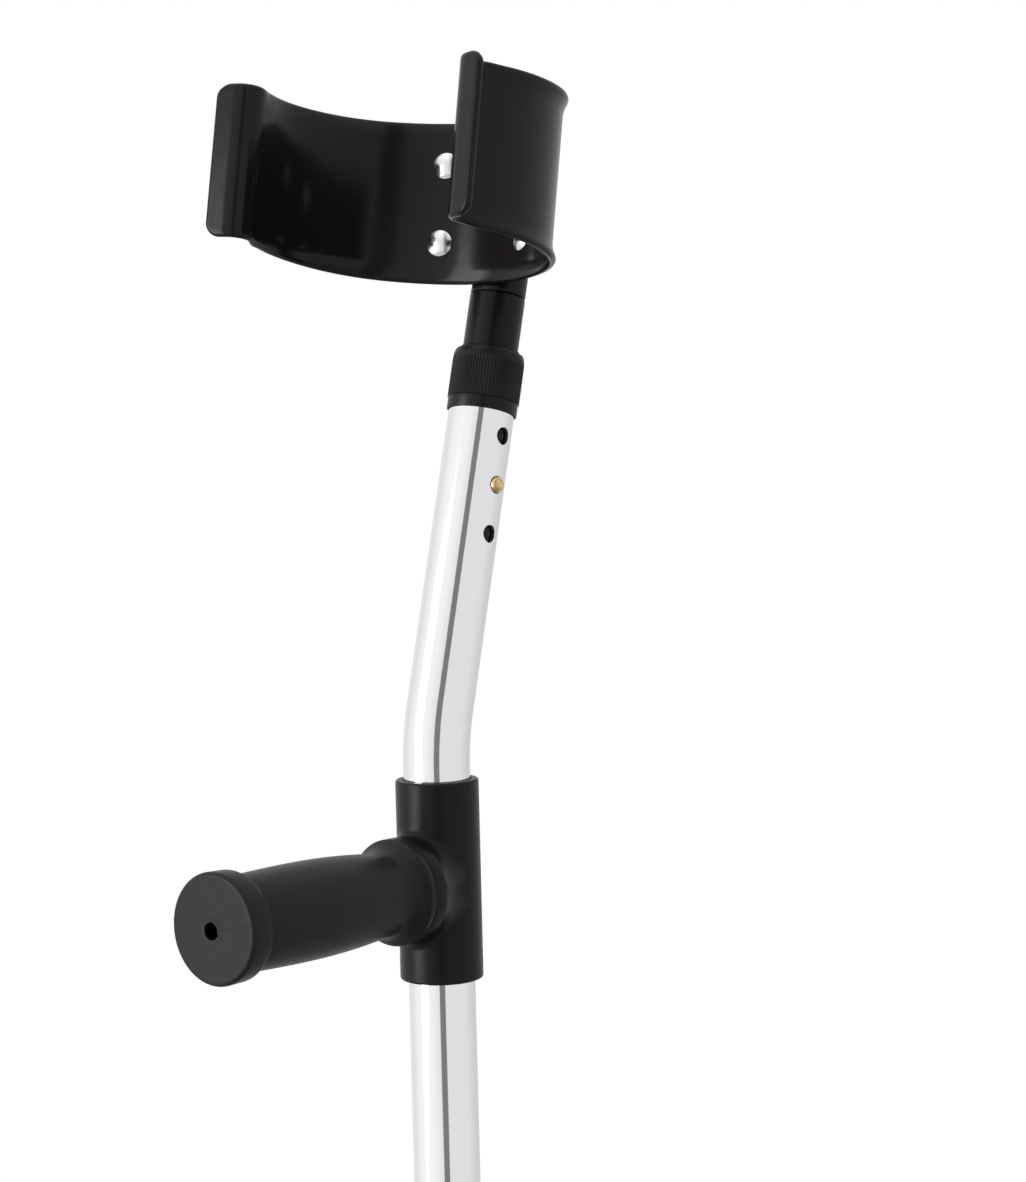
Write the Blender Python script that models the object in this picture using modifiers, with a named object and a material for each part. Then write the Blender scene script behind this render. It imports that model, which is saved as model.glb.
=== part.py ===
"""Forearm crutch: bent tube, moulded handle, sliding half-cuff arm and sliding leg.

Metres, +Z up. The origin is the centre of the ferrule's sole, the lower tube stands on
the Z axis, and the handle points to -Y, the way the user faces.
"""
import bpy
import bmesh
from math import asin, atan2, cos, pi, radians, sin, sqrt, tan
from mathutils import Matrix, Vector

# Fits and finenesses
CLEAR = 0.0003                  # gap between neighbouring pieces
RUNNING_CLEAR = 0.00025         # radial gap of the split bushes on the inner tubes
TUBE_SIDES = 32
TURNED_STEPS = 32
HOLE_SIDES = 16
SMALL_SIDES = 12

# Set-out of the crutch
HANDLE_HEIGHT = 0.840           # sole to where the handle's axis meets the tube's
HANDLE_TILT = radians(1.2)      # the handle rises towards its end
BEND_ABOVE_HANDLE = 0.0556      # where the lower and the upper tube axes cross
BEND_ANGLE = radians(14.7)
BEND_RADIUS = 0.085
MAIN_TUBE_BOTTOM = 0.380        # height of the main tube's lower end
UPPER_TUBE_LENGTH = 0.1345      # from the crossing of the axes to the tube's upper end

# Tubes: 1 inch main tube, and one inner tube size for the arm stem and the leg
MAIN_RADIUS = 0.0127
MAIN_WALL = 0.0016
INNER_RADIUS = 0.0107
INNER_WALL = 0.0014

# Button holes in the main tube
BUTTON_HOLE_RADIUS = 0.00335
ARM_HOLE_PITCH = 0.01905
ARM_HOLES = 3
ARM_HOLE_MARGIN = 0.0174        # top hole to the tube's upper end
LEG_HOLE_PITCH = 0.0254
LEG_HOLES = 7
LEG_HOLE_MARGIN = 0.0242        # bottom hole to the tube's lower end

# Snap buttons on a bow-shaped leaf spring
BUTTON_RADIUS = 0.00305
BUTTON_SHOULDER = 0.0130        # reach of the straight part from the tube's axis
BUTTON_DOME = 0.0022
BUTTON_CUTOUT_RADIUS = 0.0038   # hole in the inner tube
TENON_RADIUS = 0.0014           # the button is riveted through its leaf
TENON_HEAD_RADIUS = 0.0022
TENON_HEAD_HEIGHT = 0.0006
LEAF_REACH = 0.0084             # outer face of the leaf from the tube's axis
LEAF_THICKNESS = 0.0007
LEAF_WIDTH = 0.006
LEAF_LENGTH = 0.033             # bow to button
LEAF_OVERRUN = 0.006            # beyond the button
STEM_BELOW_BUTTON = 0.032
LEG_ABOVE_BUTTON = 0.016

# Collar nuts and split bushes at both ends of the main tube
NUT_BORE_RADIUS = 0.0130
NUT_OVERLAP = 0.00825           # how far the nut reaches over the tube
NUT_BAND_RADIUS = 0.01355
NUT_BAND_HEIGHT = 0.0046
NUT_RADIUS = 0.0139
NUT_PROJECTION = 0.0156         # how far the nut reaches past the tube's end
NUT_SHOULDER_HEIGHT = 0.0052
NUT_MOUTH_RADIUS = 0.0119
NUT_TOP_RADIUS = 0.0128
BUSH_RADIUS = 0.01265
BUSH_SKIRT = 0.0050             # straight part below the cone
BUSH_HEIGHT = 0.0165            # its fingers show above the nut
BUSH_SLOTS = 6
BUSH_SLOT_WIDTH = 0.0016
BUSH_SLOT_TURN = radians(15)
BUSH_BASE = 0.0030              # uncut ring under the slots

# Tee sleeve of the handle
TEE_RADIUS = 0.01585
TEE_BORE_RADIUS = 0.0130
TEE_ABOVE = 0.0401
TEE_BELOW = 0.0362
TEE_EDGE = 0.0008
BOSS_RADIUS = 0.0200            # disc that the grip butts against
BOSS_REACH = 0.0248             # end face of the boss from the tube's axis
BOSS_BACK = 0.0172              # back of the disc
NECK_RADIUS = 0.0154
NECK_FILLET = 0.0044
SPOTFACE_REACH = 0.0145         # flat for the washer at the back of the sleeve
SPOTFACE_RADIUS = 0.0064

# Handle core, grip and bolt; s is the distance from the tube's axis
CORE_RADIUS = 0.009525
CORE_WALL = 0.0015
CORE_START = 0.0150
CORE_END = 0.113
PLUG_START = 0.0165
PLUG_LENGTH = 0.020
BOLT_RADIUS = 0.003
BOLT_TIP = 0.034
BOLT_HEAD_RADIUS = 0.00525
BOLT_HEAD_HEIGHT = 0.0033
BOLT_SOCKET_RADIUS = 0.0023
BOLT_SOCKET_DEPTH = 0.0017
WASHER_RADIUS = 0.0060
WASHER_THICKNESS = 0.0011
GRIP_LENGTH = 0.0958
GRIP_FLANGE_RADIUS = 0.0200
GRIP_RIM = 0.0030               # straight rim of the inner flange
GRIP_COVE = 0.0082              # its hollow slope down to the barrel
GRIP_END_FLANGE = 0.0096
GRIP_EDGE = 0.0012
GRIP_BELLY_RADIUS = 0.0176
GRIP_BELLY_PLACE = 0.075
GRIP_ROOT_RADIUS = 0.0157
GRIP_TIP_RADIUS = 0.0166
GRIP_VENT_RADIUS = 0.0030
GRIP_END_WALL = 0.0062

# Cuff: one bent strip, its outline read from the middle of the back
CUFF_LEAN = radians(5.15)       # the cuff stands this much straighter than its stem
CUFF_WALL = 0.0030
CUFF_BACK = 0.0120              # back of the strip's middle line ahead of the stem axis
CUFF_BACK_RADIUS = 0.0629
CUFF_BACK_TURN = radians(38.6)
CUFF_SIDE_RADIUS = 0.0486
CUFF_SIDE_TURN = radians(69.1)
CUFF_ARM = 0.0118
LIP_RADIUS = 0.0065
LIP_TURN = radians(94)
LIP_FLAT = 0.0082
LIP_CORNER = 0.0060
LIP_RISE = 0.0007
CUFF_BELOW = 0.0310
CUFF_ABOVE = 0.0259
CUFF_BACK_DROP = 0.0046
CUFF_BACK_RISE = 0.0024
FLARE_HEIGHT = 0.0080
FLARE_RADIUS = 0.0215

# Bracket between stem and cuff, its rivets and its pin
STEM_MARGIN = 0.00305           # stem still showing above the nut at the lowest hole
BAND_HEIGHT = 0.0021            # ring between the stem's end and the cuff's rim
SPIGOT_LENGTH = 0.022
SPIGOT_CORE_RADIUS = 0.0055
SADDLE_THICKNESS = 0.0034
SADDLE_SIDE_MARGIN = 0.00525    # rivet's middle to the saddle's side edge, round the cuff
SADDLE_END_MARGIN = 0.0066      # rivet's middle to the saddle's upper and lower edge
SADDLE_CORNER = 0.0065
SPINE_BACK_HEIGHT = 0.016       # top of the spine at its back, above the band's foot
SPINE_FRONT_HEIGHT = 0.052
RIVET_HALF_SPREAD = 0.0207
RIVET_PITCH = 0.0305
RIVET_CENTRE = -0.0045
RIVET_RADIUS = 0.0021
RIVET_HEAD_RADIUS = 0.0051
RIVET_HEAD_HEIGHT = 0.0019
RIVET_TAIL_RADIUS = 0.0036
RIVET_TAIL_HEIGHT = 0.0013
RIVET_WASHER_RADIUS = 0.0048
RIVET_WASHER_THICKNESS = 0.0008
PIN_RADIUS = 0.0020
PIN_BELOW_BAND = 0.0115
PIN_INNER_END = 0.0040
PIN_OUTER_END = 0.0105

# Ferrule
FERRULE_HEIGHT = 0.046
FERRULE_SOLE = 0.012            # rubber under the leg's washer
FERRULE_WALL = 0.0031
FERRULE_BEAD = 0.0008
FERRULE_BEAD_HEIGHT = 0.005
FERRULE_NECK_FOOT = 0.024
FERRULE_FOOT_RADIUS = 0.0195
FERRULE_FOOT_HEIGHT = 0.010
FERRULE_EDGE = 0.0015
FERRULE_CENTRE_RADIUS = 0.0075
FERRULE_GROOVE_WIDTH = 0.0020
FERRULE_GROOVE_PITCH = 0.0045
FERRULE_GROOVE_DEPTH = 0.0016
FERRULE_WASHER_THICKNESS = 0.0015

# Places that follow from these
CROSSING_HEIGHT = HANDLE_HEIGHT + BEND_ABOVE_HANDLE
INNER_BORE_RADIUS = INNER_RADIUS - INNER_WALL
ARM_TRAVEL = ARM_HOLE_PITCH * (ARM_HOLES - 1) / 2
ARM_BUTTON = UPPER_TUBE_LENGTH - ARM_HOLE_MARGIN - ARM_TRAVEL
LEG_TRAVEL = LEG_HOLE_PITCH * (LEG_HOLES - 1) / 2
LEG_BUTTON = MAIN_TUBE_BOTTOM + LEG_HOLE_MARGIN + LEG_TRAVEL
BAND_FOOT = UPPER_TUBE_LENGTH + NUT_PROJECTION + ARM_TRAVEL + STEM_MARGIN + CLEAR
STEM_TOP = BAND_FOOT - CLEAR
FLARE_ANGLE = asin(FLARE_HEIGHT / FLARE_RADIUS)
RIM_DEPTH = CUFF_BELOW + CUFF_BACK_DROP + CUFF_WALL / 2 * sin(FLARE_ANGLE)
RIM_BACK = CUFF_BACK - FLARE_RADIUS + (FLARE_RADIUS + CUFF_WALL / 2) * cos(FLARE_ANGLE)
CUFF_PLACE = (BAND_FOOT + BAND_HEIGHT + CLEAR + RIM_DEPTH * cos(CUFF_LEAN)
              + RIM_BACK * sin(CUFF_LEAN))
CUFF_OUTER_RADIUS = CUFF_BACK_RADIUS + CUFF_WALL / 2
SADDLE_RADIUS = CUFF_OUTER_RADIUS + CLEAR
RIVET_SWING = asin(RIVET_HALF_SPREAD / CUFF_BACK_RADIUS)
SADDLE_SPREAD = RIVET_SWING + SADDLE_SIDE_MARGIN / CUFF_BACK_RADIUS
SADDLE_BELOW = RIVET_PITCH / 2 - RIVET_CENTRE + SADDLE_END_MARGIN
SADDLE_ABOVE = RIVET_PITCH / 2 + RIVET_CENTRE + SADDLE_END_MARGIN
GRIP_START = BOSS_REACH + CLEAR
GRIP_END = GRIP_START + GRIP_LENGTH
GRIP_ROOT = GRIP_START + GRIP_RIM + GRIP_COVE
GRIP_TIP = GRIP_END - GRIP_END_FLANGE
WASHER_PLACE = SPOTFACE_REACH + CLEAR
BOLT_HEAD_PLACE = WASHER_PLACE + WASHER_THICKNESS + CLEAR
FERRULE_BORE_RADIUS = INNER_RADIUS + CLEAR
LEG_BOTTOM = FERRULE_SOLE + FERRULE_WASHER_THICKNESS + 2 * CLEAR

for leftover in list(bpy.data.objects):
    bpy.data.objects.remove(leftover)

PART = bpy.data.collections.new("forearm_crutch")
CUTTERS = bpy.data.collections.new("cutters")
bpy.context.scene.collection.children.link(PART)
bpy.context.scene.collection.children.link(CUTTERS)


def finish(name, colour, roughness, metallic=0.0):
    """A plain Principled material."""
    material = bpy.data.materials.new(name)
    material.use_nodes = True
    shader = material.node_tree.nodes["Principled BSDF"]
    shader.inputs["Base Color"].default_value = (*colour, 1.0)
    shader.inputs["Roughness"].default_value = roughness
    shader.inputs["Metallic"].default_value = metallic
    return material


def frame_at(name, parent=None, place=(0, 0, 0), turn=(0, 0, 0)):
    """An empty that carries pieces; its axes are the pieces' own."""
    empty = bpy.data.objects.new(name, None)
    empty.parent = parent
    empty.location = place
    empty.rotation_euler = turn
    PART.objects.link(empty)
    return empty


def piece(name, mesh, material, parent=None):
    """A named sub-part, its mesh drawn in its parent's axes."""
    solid = bpy.data.objects.new(name, mesh)
    solid.parent = parent
    mesh.materials.append(material)
    PART.objects.link(solid)
    return solid


def cutter(name, mesh, parent=None):
    """A shape that only cuts or joins others."""
    tool = bpy.data.objects.new(name, mesh)
    tool.parent = parent
    tool.hide_render = True
    tool.display_type = "WIRE"
    CUTTERS.objects.link(tool)
    return tool


def combine(solid, tool, operation="DIFFERENCE"):
    """Cut, or join, a solid with another by an exact Boolean."""
    boolean = solid.modifiers.new(tool.name, "BOOLEAN")
    boolean.operation = operation
    boolean.solver = "EXACT"
    boolean.object = tool


def smooth(mesh, angle=radians(35)):
    mesh.shade_smooth()
    mesh.set_sharp_from_angle(angle=angle)


def arc(centre_radius, centre_height, radius, start, end, steps):
    """Points of an arc in a profile, angles in degrees from the outward direction."""
    sweep = [radians(start + (end - start) * k / steps) for k in range(steps + 1)]
    return [(centre_radius + radius * cos(a), centre_height + radius * sin(a)) for a in sweep]


def profile_mesh(name, points, closed):
    """The profile of a turned piece, drawn in the XZ plane down its outer side."""
    mesh = bpy.data.meshes.new(name)
    shape = bmesh.new()
    corners = [shape.verts.new((radius, 0, height)) for radius, height in points]
    for first, second in zip(corners, corners[1:]):
        shape.edges.new((first, second))
    if closed:
        shape.edges.new((corners[-1], corners[0]))
    shape.to_mesh(mesh)
    shape.free()
    return mesh


def turn(solid, steps):
    """Turn a profile about Z."""
    screw = solid.modifiers.new("turned", "SCREW")
    screw.steps = screw.render_steps = steps
    screw.use_merge_vertices = True
    screw.merge_threshold = 0.00001
    screw.use_smooth_shade = True
    return solid


def turned(name, points, material, parent=None, steps=TURNED_STEPS, closed=False):
    return turn(piece(name, profile_mesh(name, points, closed), material, parent), steps)


def turned_cutter(name, points, parent=None, steps=TURNED_STEPS, closed=False):
    return turn(cutter(name, profile_mesh(name, points, closed), parent), steps)


def ring_profile(outer, inner, low, high):
    return [(outer, high), (outer, low), (inner, low), (inner, high)]


def rod_profile(radius, low, high):
    return [(0, high), (radius, high), (radius, low), (0, low)]


def rods(name, radius, spans, parent=None, sides=HOLE_SIDES):
    """A cutter of one or more cylinders, each from a start point to an end point."""
    mesh = bpy.data.meshes.new(name)
    shape = bmesh.new()
    for start, end in spans:
        start, end = Vector(start), Vector(end)
        aim = (end - start).to_track_quat("Z", "Y").to_matrix().to_4x4()
        place = Matrix.Translation((start + end) / 2) @ aim
        bmesh.ops.create_cone(shape, cap_ends=True, segments=sides, radius1=radius,
                              radius2=radius, depth=(end - start).length, matrix=place)
    shape.to_mesh(mesh)
    shape.free()
    return cutter(name, mesh, parent)


def block_mesh(name, low, high):
    """A box between two corners."""
    mesh = bpy.data.meshes.new(name)
    shape = bmesh.new()
    size = [b - a for a, b in zip(low, high)]
    middle = [(a + b) / 2 for a, b in zip(low, high)]
    place = Matrix.Translation(middle) @ Matrix.Diagonal((*size, 1))
    bmesh.ops.create_cube(shape, size=1, matrix=place)
    shape.to_mesh(mesh)
    shape.free()
    return mesh


def sheet_mesh(name, columns, rows, place):
    """A grid whose points are set by place(column, row)."""
    mesh = bpy.data.meshes.new(name)
    shape = bmesh.new()
    bmesh.ops.create_grid(shape, x_segments=columns, y_segments=rows, size=0.5)
    for corner in shape.verts:
        column = round((corner.co.x + 0.5) * columns)
        row = round((corner.co.y + 0.5) * rows)
        corner.co = place(column, row)
    shape.to_mesh(mesh)
    shape.free()
    mesh.shade_smooth()
    return mesh


def thicken(solid, thickness, offset):
    shell = solid.modifiers.new("thickness", "SOLIDIFY")
    shell.thickness = thickness
    shell.offset = offset
    shell.use_even_offset = True


BRIGHT_TUBE = finish("bright_aluminium", (0.80, 0.81, 0.82), 0.12, 1.0)
BLACK_TUBE = finish("black_anodised", (0.02, 0.02, 0.022), 0.30, 0.0)
BLACK_NYLON = finish("black_nylon", (0.018, 0.018, 0.020), 0.45)
GRIP_PLASTIC = finish("grip_polymer", (0.022, 0.022, 0.024), 0.55)
CUFF_VINYL = finish("cuff_vinyl", (0.016, 0.016, 0.018), 0.30)
NICKEL = finish("nickel_plate", (0.78, 0.76, 0.72), 0.12, 1.0)
BRASS = finish("brass", (0.72, 0.56, 0.30), 0.25, 1.0)
SPRING_STEEL = finish("spring_steel", (0.45, 0.46, 0.48), 0.35, 1.0)
ZINC_STEEL = finish("zinc_plated_steel", (0.62, 0.63, 0.65), 0.30, 1.0)
RUBBER = finish("grey_rubber", (0.10, 0.10, 0.105), 0.80)

# The upper tube, and all that rides on it, leans back from the lower tube
UPPER = frame_at("upper_axis", place=(0, 0, CROSSING_HEIGHT), turn=(-BEND_ANGLE, 0, 0))
ARM = frame_at("arm_slide_axis", UPPER)
CUFF_FRAME = frame_at("cuff_axis", ARM, place=(0, 0, CUFF_PLACE), turn=(CUFF_LEAN, 0, 0))
LEG = frame_at("leg_slide_axis")
# The handle's own Z axis runs out along the handle
HANDLE = frame_at("handle_axis", place=(0, 0, HANDLE_HEIGHT), turn=(pi / 2 - HANDLE_TILT, 0, 0))


# Main tube: one bent tube with the button holes and the handle bolt's hole
def main_tube_path():
    """Straight, bend and straight, as points on the tube's axis."""
    tangent = BEND_RADIUS * tan(BEND_ANGLE / 2)
    bend_start = CROSSING_HEIGHT - tangent
    steps = 6
    path = [(0, 0, MAIN_TUBE_BOTTOM)]
    for k in range(steps + 1):
        a = BEND_ANGLE * k / steps
        path.append((0, BEND_RADIUS * (1 - cos(a)), bend_start + BEND_RADIUS * sin(a)))
    path.append((0, UPPER_TUBE_LENGTH * sin(BEND_ANGLE),
                 CROSSING_HEIGHT + UPPER_TUBE_LENGTH * cos(BEND_ANGLE)))
    return path


def bent_tube(name, path, radius, sides):
    """The open skin of a round tube along a path."""
    curve = bpy.data.curves.new(name, "CURVE")
    curve.dimensions = "3D"
    spline = curve.splines.new("POLY")
    spline.points.add(len(path) - 1)
    for point, place in zip(spline.points, path):
        point.co = (*place, 1)
    curve.bevel_depth = radius
    curve.bevel_resolution = sides // 2 - 2
    guide = bpy.data.objects.new(name, curve)
    PART.objects.link(guide)
    graph = bpy.context.evaluated_depsgraph_get()
    mesh = bpy.data.meshes.new_from_object(guide.evaluated_get(graph))
    bpy.data.objects.remove(guide)
    smooth(mesh)
    return mesh


def cross_holes(name, heights, parent=None):
    """Button holes through both sides of the main tube."""
    reach = 2 * MAIN_RADIUS
    spans = [((-reach, 0, height), (reach, 0, height)) for height in heights]
    return rods(name, BUTTON_HOLE_RADIUS, spans, parent)


main_tube = piece("main_tube", bent_tube("main_tube", main_tube_path(), MAIN_RADIUS, TUBE_SIDES),
                  BRIGHT_TUBE)
thicken(main_tube, MAIN_WALL, -1)
arm_hole_heights = [ARM_BUTTON + (k - (ARM_HOLES - 1) / 2) * ARM_HOLE_PITCH
                    for k in range(ARM_HOLES)]
leg_hole_heights = [LEG_BUTTON + (k - (LEG_HOLES - 1) / 2) * LEG_HOLE_PITCH
                    for k in range(LEG_HOLES)]
combine(main_tube, cross_holes("arm_button_holes", arm_hole_heights, UPPER))
combine(main_tube, cross_holes("leg_button_holes", leg_hole_heights))
combine(main_tube, rods("bolt_holes", BOLT_RADIUS + CLEAR,
                        [((0, 0, -2 * MAIN_RADIUS), (0, 0, 2 * MAIN_RADIUS))], HANDLE))


# Tee sleeve: a moulded sleeve with a neck and a disc that the grip butts against
def boss_profile():
    corner = BOSS_RADIUS - TEE_EDGE
    fillet = arc(NECK_RADIUS + NECK_FILLET, BOSS_BACK - NECK_FILLET, NECK_FILLET, 90, 180, 4)
    return ([(0, BOSS_REACH), (corner, BOSS_REACH), (BOSS_RADIUS, BOSS_REACH - TEE_EDGE),
             (BOSS_RADIUS, BOSS_BACK)] + fillet + [(NECK_RADIUS, 0), (0, 0)])


def tee_profile():
    low, high = HANDLE_HEIGHT - TEE_BELOW, HANDLE_HEIGHT + TEE_ABOVE
    inset = TEE_RADIUS - TEE_EDGE
    return ([(0, high)] + arc(inset, high - TEE_EDGE, TEE_EDGE, 90, 0, 3)
            + arc(inset, low + TEE_EDGE, TEE_EDGE, 0, -90, 3) + [(0, low)])


tee_sleeve = turned("tee_sleeve", tee_profile(), BLACK_NYLON)
combine(tee_sleeve, turned_cutter("handle_boss", boss_profile(), HANDLE), "UNION")
combine(tee_sleeve, rods("tee_bore", TEE_BORE_RADIUS,
                         [((0, 0, HANDLE_HEIGHT - 2 * TEE_BELOW),
                           (0, 0, HANDLE_HEIGHT + 2 * TEE_ABOVE))], sides=TURNED_STEPS))
combine(tee_sleeve, rods("core_socket", CORE_RADIUS + CLEAR,
                         [((0, 0, CORE_START - CLEAR), (0, 0, 2 * BOSS_REACH))], HANDLE,
                         sides=TURNED_STEPS))
combine(tee_sleeve, rods("tee_bolt_hole", BOLT_RADIUS + CLEAR,
                         [((0, 0, -2 * TEE_RADIUS), (0, 0, 2 * TEE_RADIUS))], HANDLE))
combine(tee_sleeve, rods("tee_spotface", SPOTFACE_RADIUS,
                         [((0, 0, -2 * TEE_RADIUS), (0, 0, -SPOTFACE_REACH))], HANDLE))


# Handle: an aluminium core in the boss, a threaded plug in it, and a bolt from the back
turned("handle_core", ring_profile(CORE_RADIUS, CORE_RADIUS - CORE_WALL, CORE_START, CORE_END),
       BRIGHT_TUBE, HANDLE, TUBE_SIDES, closed=True)
turned("core_plug", ring_profile(CORE_RADIUS - CORE_WALL - CLEAR, BOLT_RADIUS + CLEAR,
                                 PLUG_START, PLUG_START + PLUG_LENGTH),
       ZINC_STEEL, HANDLE, SMALL_SIDES, closed=True)
turned("handle_washer", ring_profile(WASHER_RADIUS, BOLT_RADIUS + CLEAR,
                                     -WASHER_PLACE - WASHER_THICKNESS, -WASHER_PLACE),
       ZINC_STEEL, HANDLE, SMALL_SIDES, closed=True)


def dome(base_radius, height, base_height, steps, upward):
    """Points of a domed head from its rim to its top, or from its top to its rim."""
    sphere = (base_radius ** 2 + height ** 2) / (2 * height)
    reach = asin(min(base_radius / sphere, 1))
    if height > base_radius:
        reach = pi - reach
    points = [(sphere * sin(reach * k / steps), height - sphere * (1 - cos(reach * k / steps)))
              for k in range(steps + 1)]
    if upward:
        return [(radius, base_height + rise) for radius, rise in points]
    return [(radius, base_height - rise) for radius, rise in reversed(points)]


def bolt_profile():
    rim = BOLT_HEAD_HEIGHT * 0.25
    seat = -BOLT_HEAD_PLACE
    return ([(0, BOLT_TIP), (BOLT_RADIUS, BOLT_TIP), (BOLT_RADIUS, seat),
             (BOLT_HEAD_RADIUS, seat)]
            + dome(BOLT_HEAD_RADIUS, BOLT_HEAD_HEIGHT - rim, seat - rim, 4, upward=False))


handle_bolt = turned("handle_bolt", bolt_profile(), ZINC_STEEL, HANDLE, SMALL_SIDES)
bolt_end = BOLT_HEAD_PLACE + BOLT_HEAD_HEIGHT
combine(handle_bolt, rods("bolt_socket", BOLT_SOCKET_RADIUS,
                          [((0, 0, -2 * bolt_end), (0, 0, BOLT_SOCKET_DEPTH - bolt_end))],
                          HANDLE, sides=6))


def barrel_radius(place):
    """The grip's belly: a parabola to each side of its fullest place."""
    end, radius = (GRIP_TIP, GRIP_TIP_RADIUS) if place > GRIP_BELLY_PLACE else (
        GRIP_ROOT, GRIP_ROOT_RADIUS)
    share = (place - GRIP_BELLY_PLACE) / (end - GRIP_BELLY_PLACE)
    return GRIP_BELLY_RADIUS - (GRIP_BELLY_RADIUS - radius) * share ** 2


def grip_profile():
    bore = CORE_RADIUS + CLEAR
    inset = GRIP_FLANGE_RADIUS - GRIP_EDGE
    barrel = [GRIP_TIP + (GRIP_ROOT - GRIP_TIP) * k / 9 for k in range(10)]
    rim = GRIP_START + GRIP_RIM
    drop = GRIP_FLANGE_RADIUS - GRIP_ROOT_RADIUS
    cove = [(GRIP_ROOT_RADIUS + drop * (k / 4) ** 2, GRIP_ROOT - GRIP_COVE * (k / 4) ** 0.8)
            for k in range(1, 5)]
    return ([(GRIP_VENT_RADIUS, GRIP_END)] + arc(inset, GRIP_END - GRIP_EDGE, GRIP_EDGE, 90, 0, 3)
            + [(GRIP_FLANGE_RADIUS, GRIP_TIP + GRIP_EDGE / 3),
               (GRIP_FLANGE_RADIUS - GRIP_EDGE / 3, GRIP_TIP)]
            + [(barrel_radius(place), place) for place in barrel] + cove[:-1]
            + [(GRIP_FLANGE_RADIUS - GRIP_EDGE / 3, rim), (GRIP_FLANGE_RADIUS, rim - GRIP_EDGE / 3)]
            + arc(inset, GRIP_START + GRIP_EDGE, GRIP_EDGE, 0, -90, 2)
            + [(bore, GRIP_START), (bore, GRIP_END - GRIP_END_WALL),
               (GRIP_VENT_RADIUS, GRIP_END - GRIP_END_WALL)])


turned("hand_grip", grip_profile(), GRIP_PLASTIC, HANDLE, closed=True)


# Collars: a nut over each end of the main tube squeezes a split bush onto the inner tube
def nut_profile():
    """From the tube's end, as if the nut stood on it; the shoulder is a quarter ellipse."""
    top = NUT_PROJECTION
    ribs_top = top - NUT_SHOULDER_HEIGHT
    band_top = NUT_BAND_HEIGHT - NUT_OVERLAP
    swell = NUT_RADIUS - NUT_TOP_RADIUS
    shoulder = [(NUT_TOP_RADIUS + swell * cos(radians(a)),
                 ribs_top + NUT_SHOULDER_HEIGHT * sin(radians(a))) for a in (90, 65, 40, 18, 0)]
    cone_foot = CLEAR + BUSH_SKIRT
    return (shoulder + [(NUT_RADIUS, band_top), (NUT_BAND_RADIUS, band_top),
                        (NUT_BAND_RADIUS, -NUT_OVERLAP), (NUT_BORE_RADIUS, -NUT_OVERLAP),
                        (NUT_BORE_RADIUS, cone_foot), (NUT_MOUTH_RADIUS, top - CLEAR)]
            + [(NUT_MOUTH_RADIUS, top)])


def bush_profile():
    """A ring on the tube's end whose outside follows the nut's cone."""
    inner = INNER_RADIUS + RUNNING_CLEAR
    foot = CLEAR
    gap = NUT_BORE_RADIUS - BUSH_RADIUS
    slope = (NUT_BORE_RADIUS - NUT_MOUTH_RADIUS) / (NUT_PROJECTION - 2 * CLEAR - BUSH_SKIRT)
    top = foot + BUSH_HEIGHT
    top_radius = NUT_BORE_RADIUS - slope * (BUSH_HEIGHT - BUSH_SKIRT) - gap
    return [(top_radius, top), (BUSH_RADIUS, foot + BUSH_SKIRT), (BUSH_RADIUS, foot),
            (inner, foot), (inner, top)]


def collar(prefix, parent):
    """A nut and its split bush at one end of the main tube."""
    turned(prefix + "_collar_nut", nut_profile(), BLACK_NYLON, parent, closed=True)
    bush = turned(prefix + "_split_bush", bush_profile(), BLACK_NYLON, parent, closed=True)
    shape = bmesh.new()
    for k in range(BUSH_SLOTS):
        swing = Matrix.Rotation(BUSH_SLOT_TURN + 2 * pi * k / BUSH_SLOTS, 4, "Z")
        shift = Matrix.Translation((NUT_BORE_RADIUS, 0, BUSH_BASE + BUSH_HEIGHT))
        slot = Matrix.Diagonal((NUT_BORE_RADIUS, BUSH_SLOT_WIDTH, 2 * BUSH_HEIGHT, 1))
        bmesh.ops.create_cube(shape, size=1, matrix=swing @ shift @ slot)
    mesh = bpy.data.meshes.new(prefix + "_bush_slots")
    shape.to_mesh(mesh)
    shape.free()
    combine(bush, cutter(prefix + "_bush_slots", mesh, parent))


collar("upper", frame_at("upper_collar_axis", UPPER, place=(0, 0, UPPER_TUBE_LENGTH)))
collar("lower", frame_at("lower_collar_axis", place=(0, 0, MAIN_TUBE_BOTTOM), turn=(pi, 0, 0)))


# Arm stem and leg tube slide in the main tube
def inner_tube(name, low, high, button_height, material, parent):
    tube = turned(name, ring_profile(INNER_RADIUS, INNER_BORE_RADIUS, low, high), material,
                  parent, TUBE_SIDES, closed=True)
    reach = 2 * INNER_RADIUS
    combine(tube, rods(name + "_button_holes", BUTTON_CUTOUT_RADIUS,
                       [((-reach, 0, button_height), (reach, 0, button_height))], parent))
    return tube


arm_stem = inner_tube("arm_stem", ARM_BUTTON - STEM_BELOW_BUTTON, STEM_TOP, ARM_BUTTON,
                      BLACK_TUBE, ARM)
pin_height = BAND_FOOT - PIN_BELOW_BAND
pin_hole = rods("pin_hole", PIN_RADIUS + CLEAR,
                [((0, PIN_INNER_END - CLEAR, pin_height), (0, 2 * INNER_RADIUS, pin_height))],
                ARM, sides=SMALL_SIDES)
combine(arm_stem, pin_hole)
inner_tube("leg_tube", LEG_BOTTOM, LEG_BUTTON + LEG_ABOVE_BUTTON, LEG_BUTTON, BRIGHT_TUBE, LEG)


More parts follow.
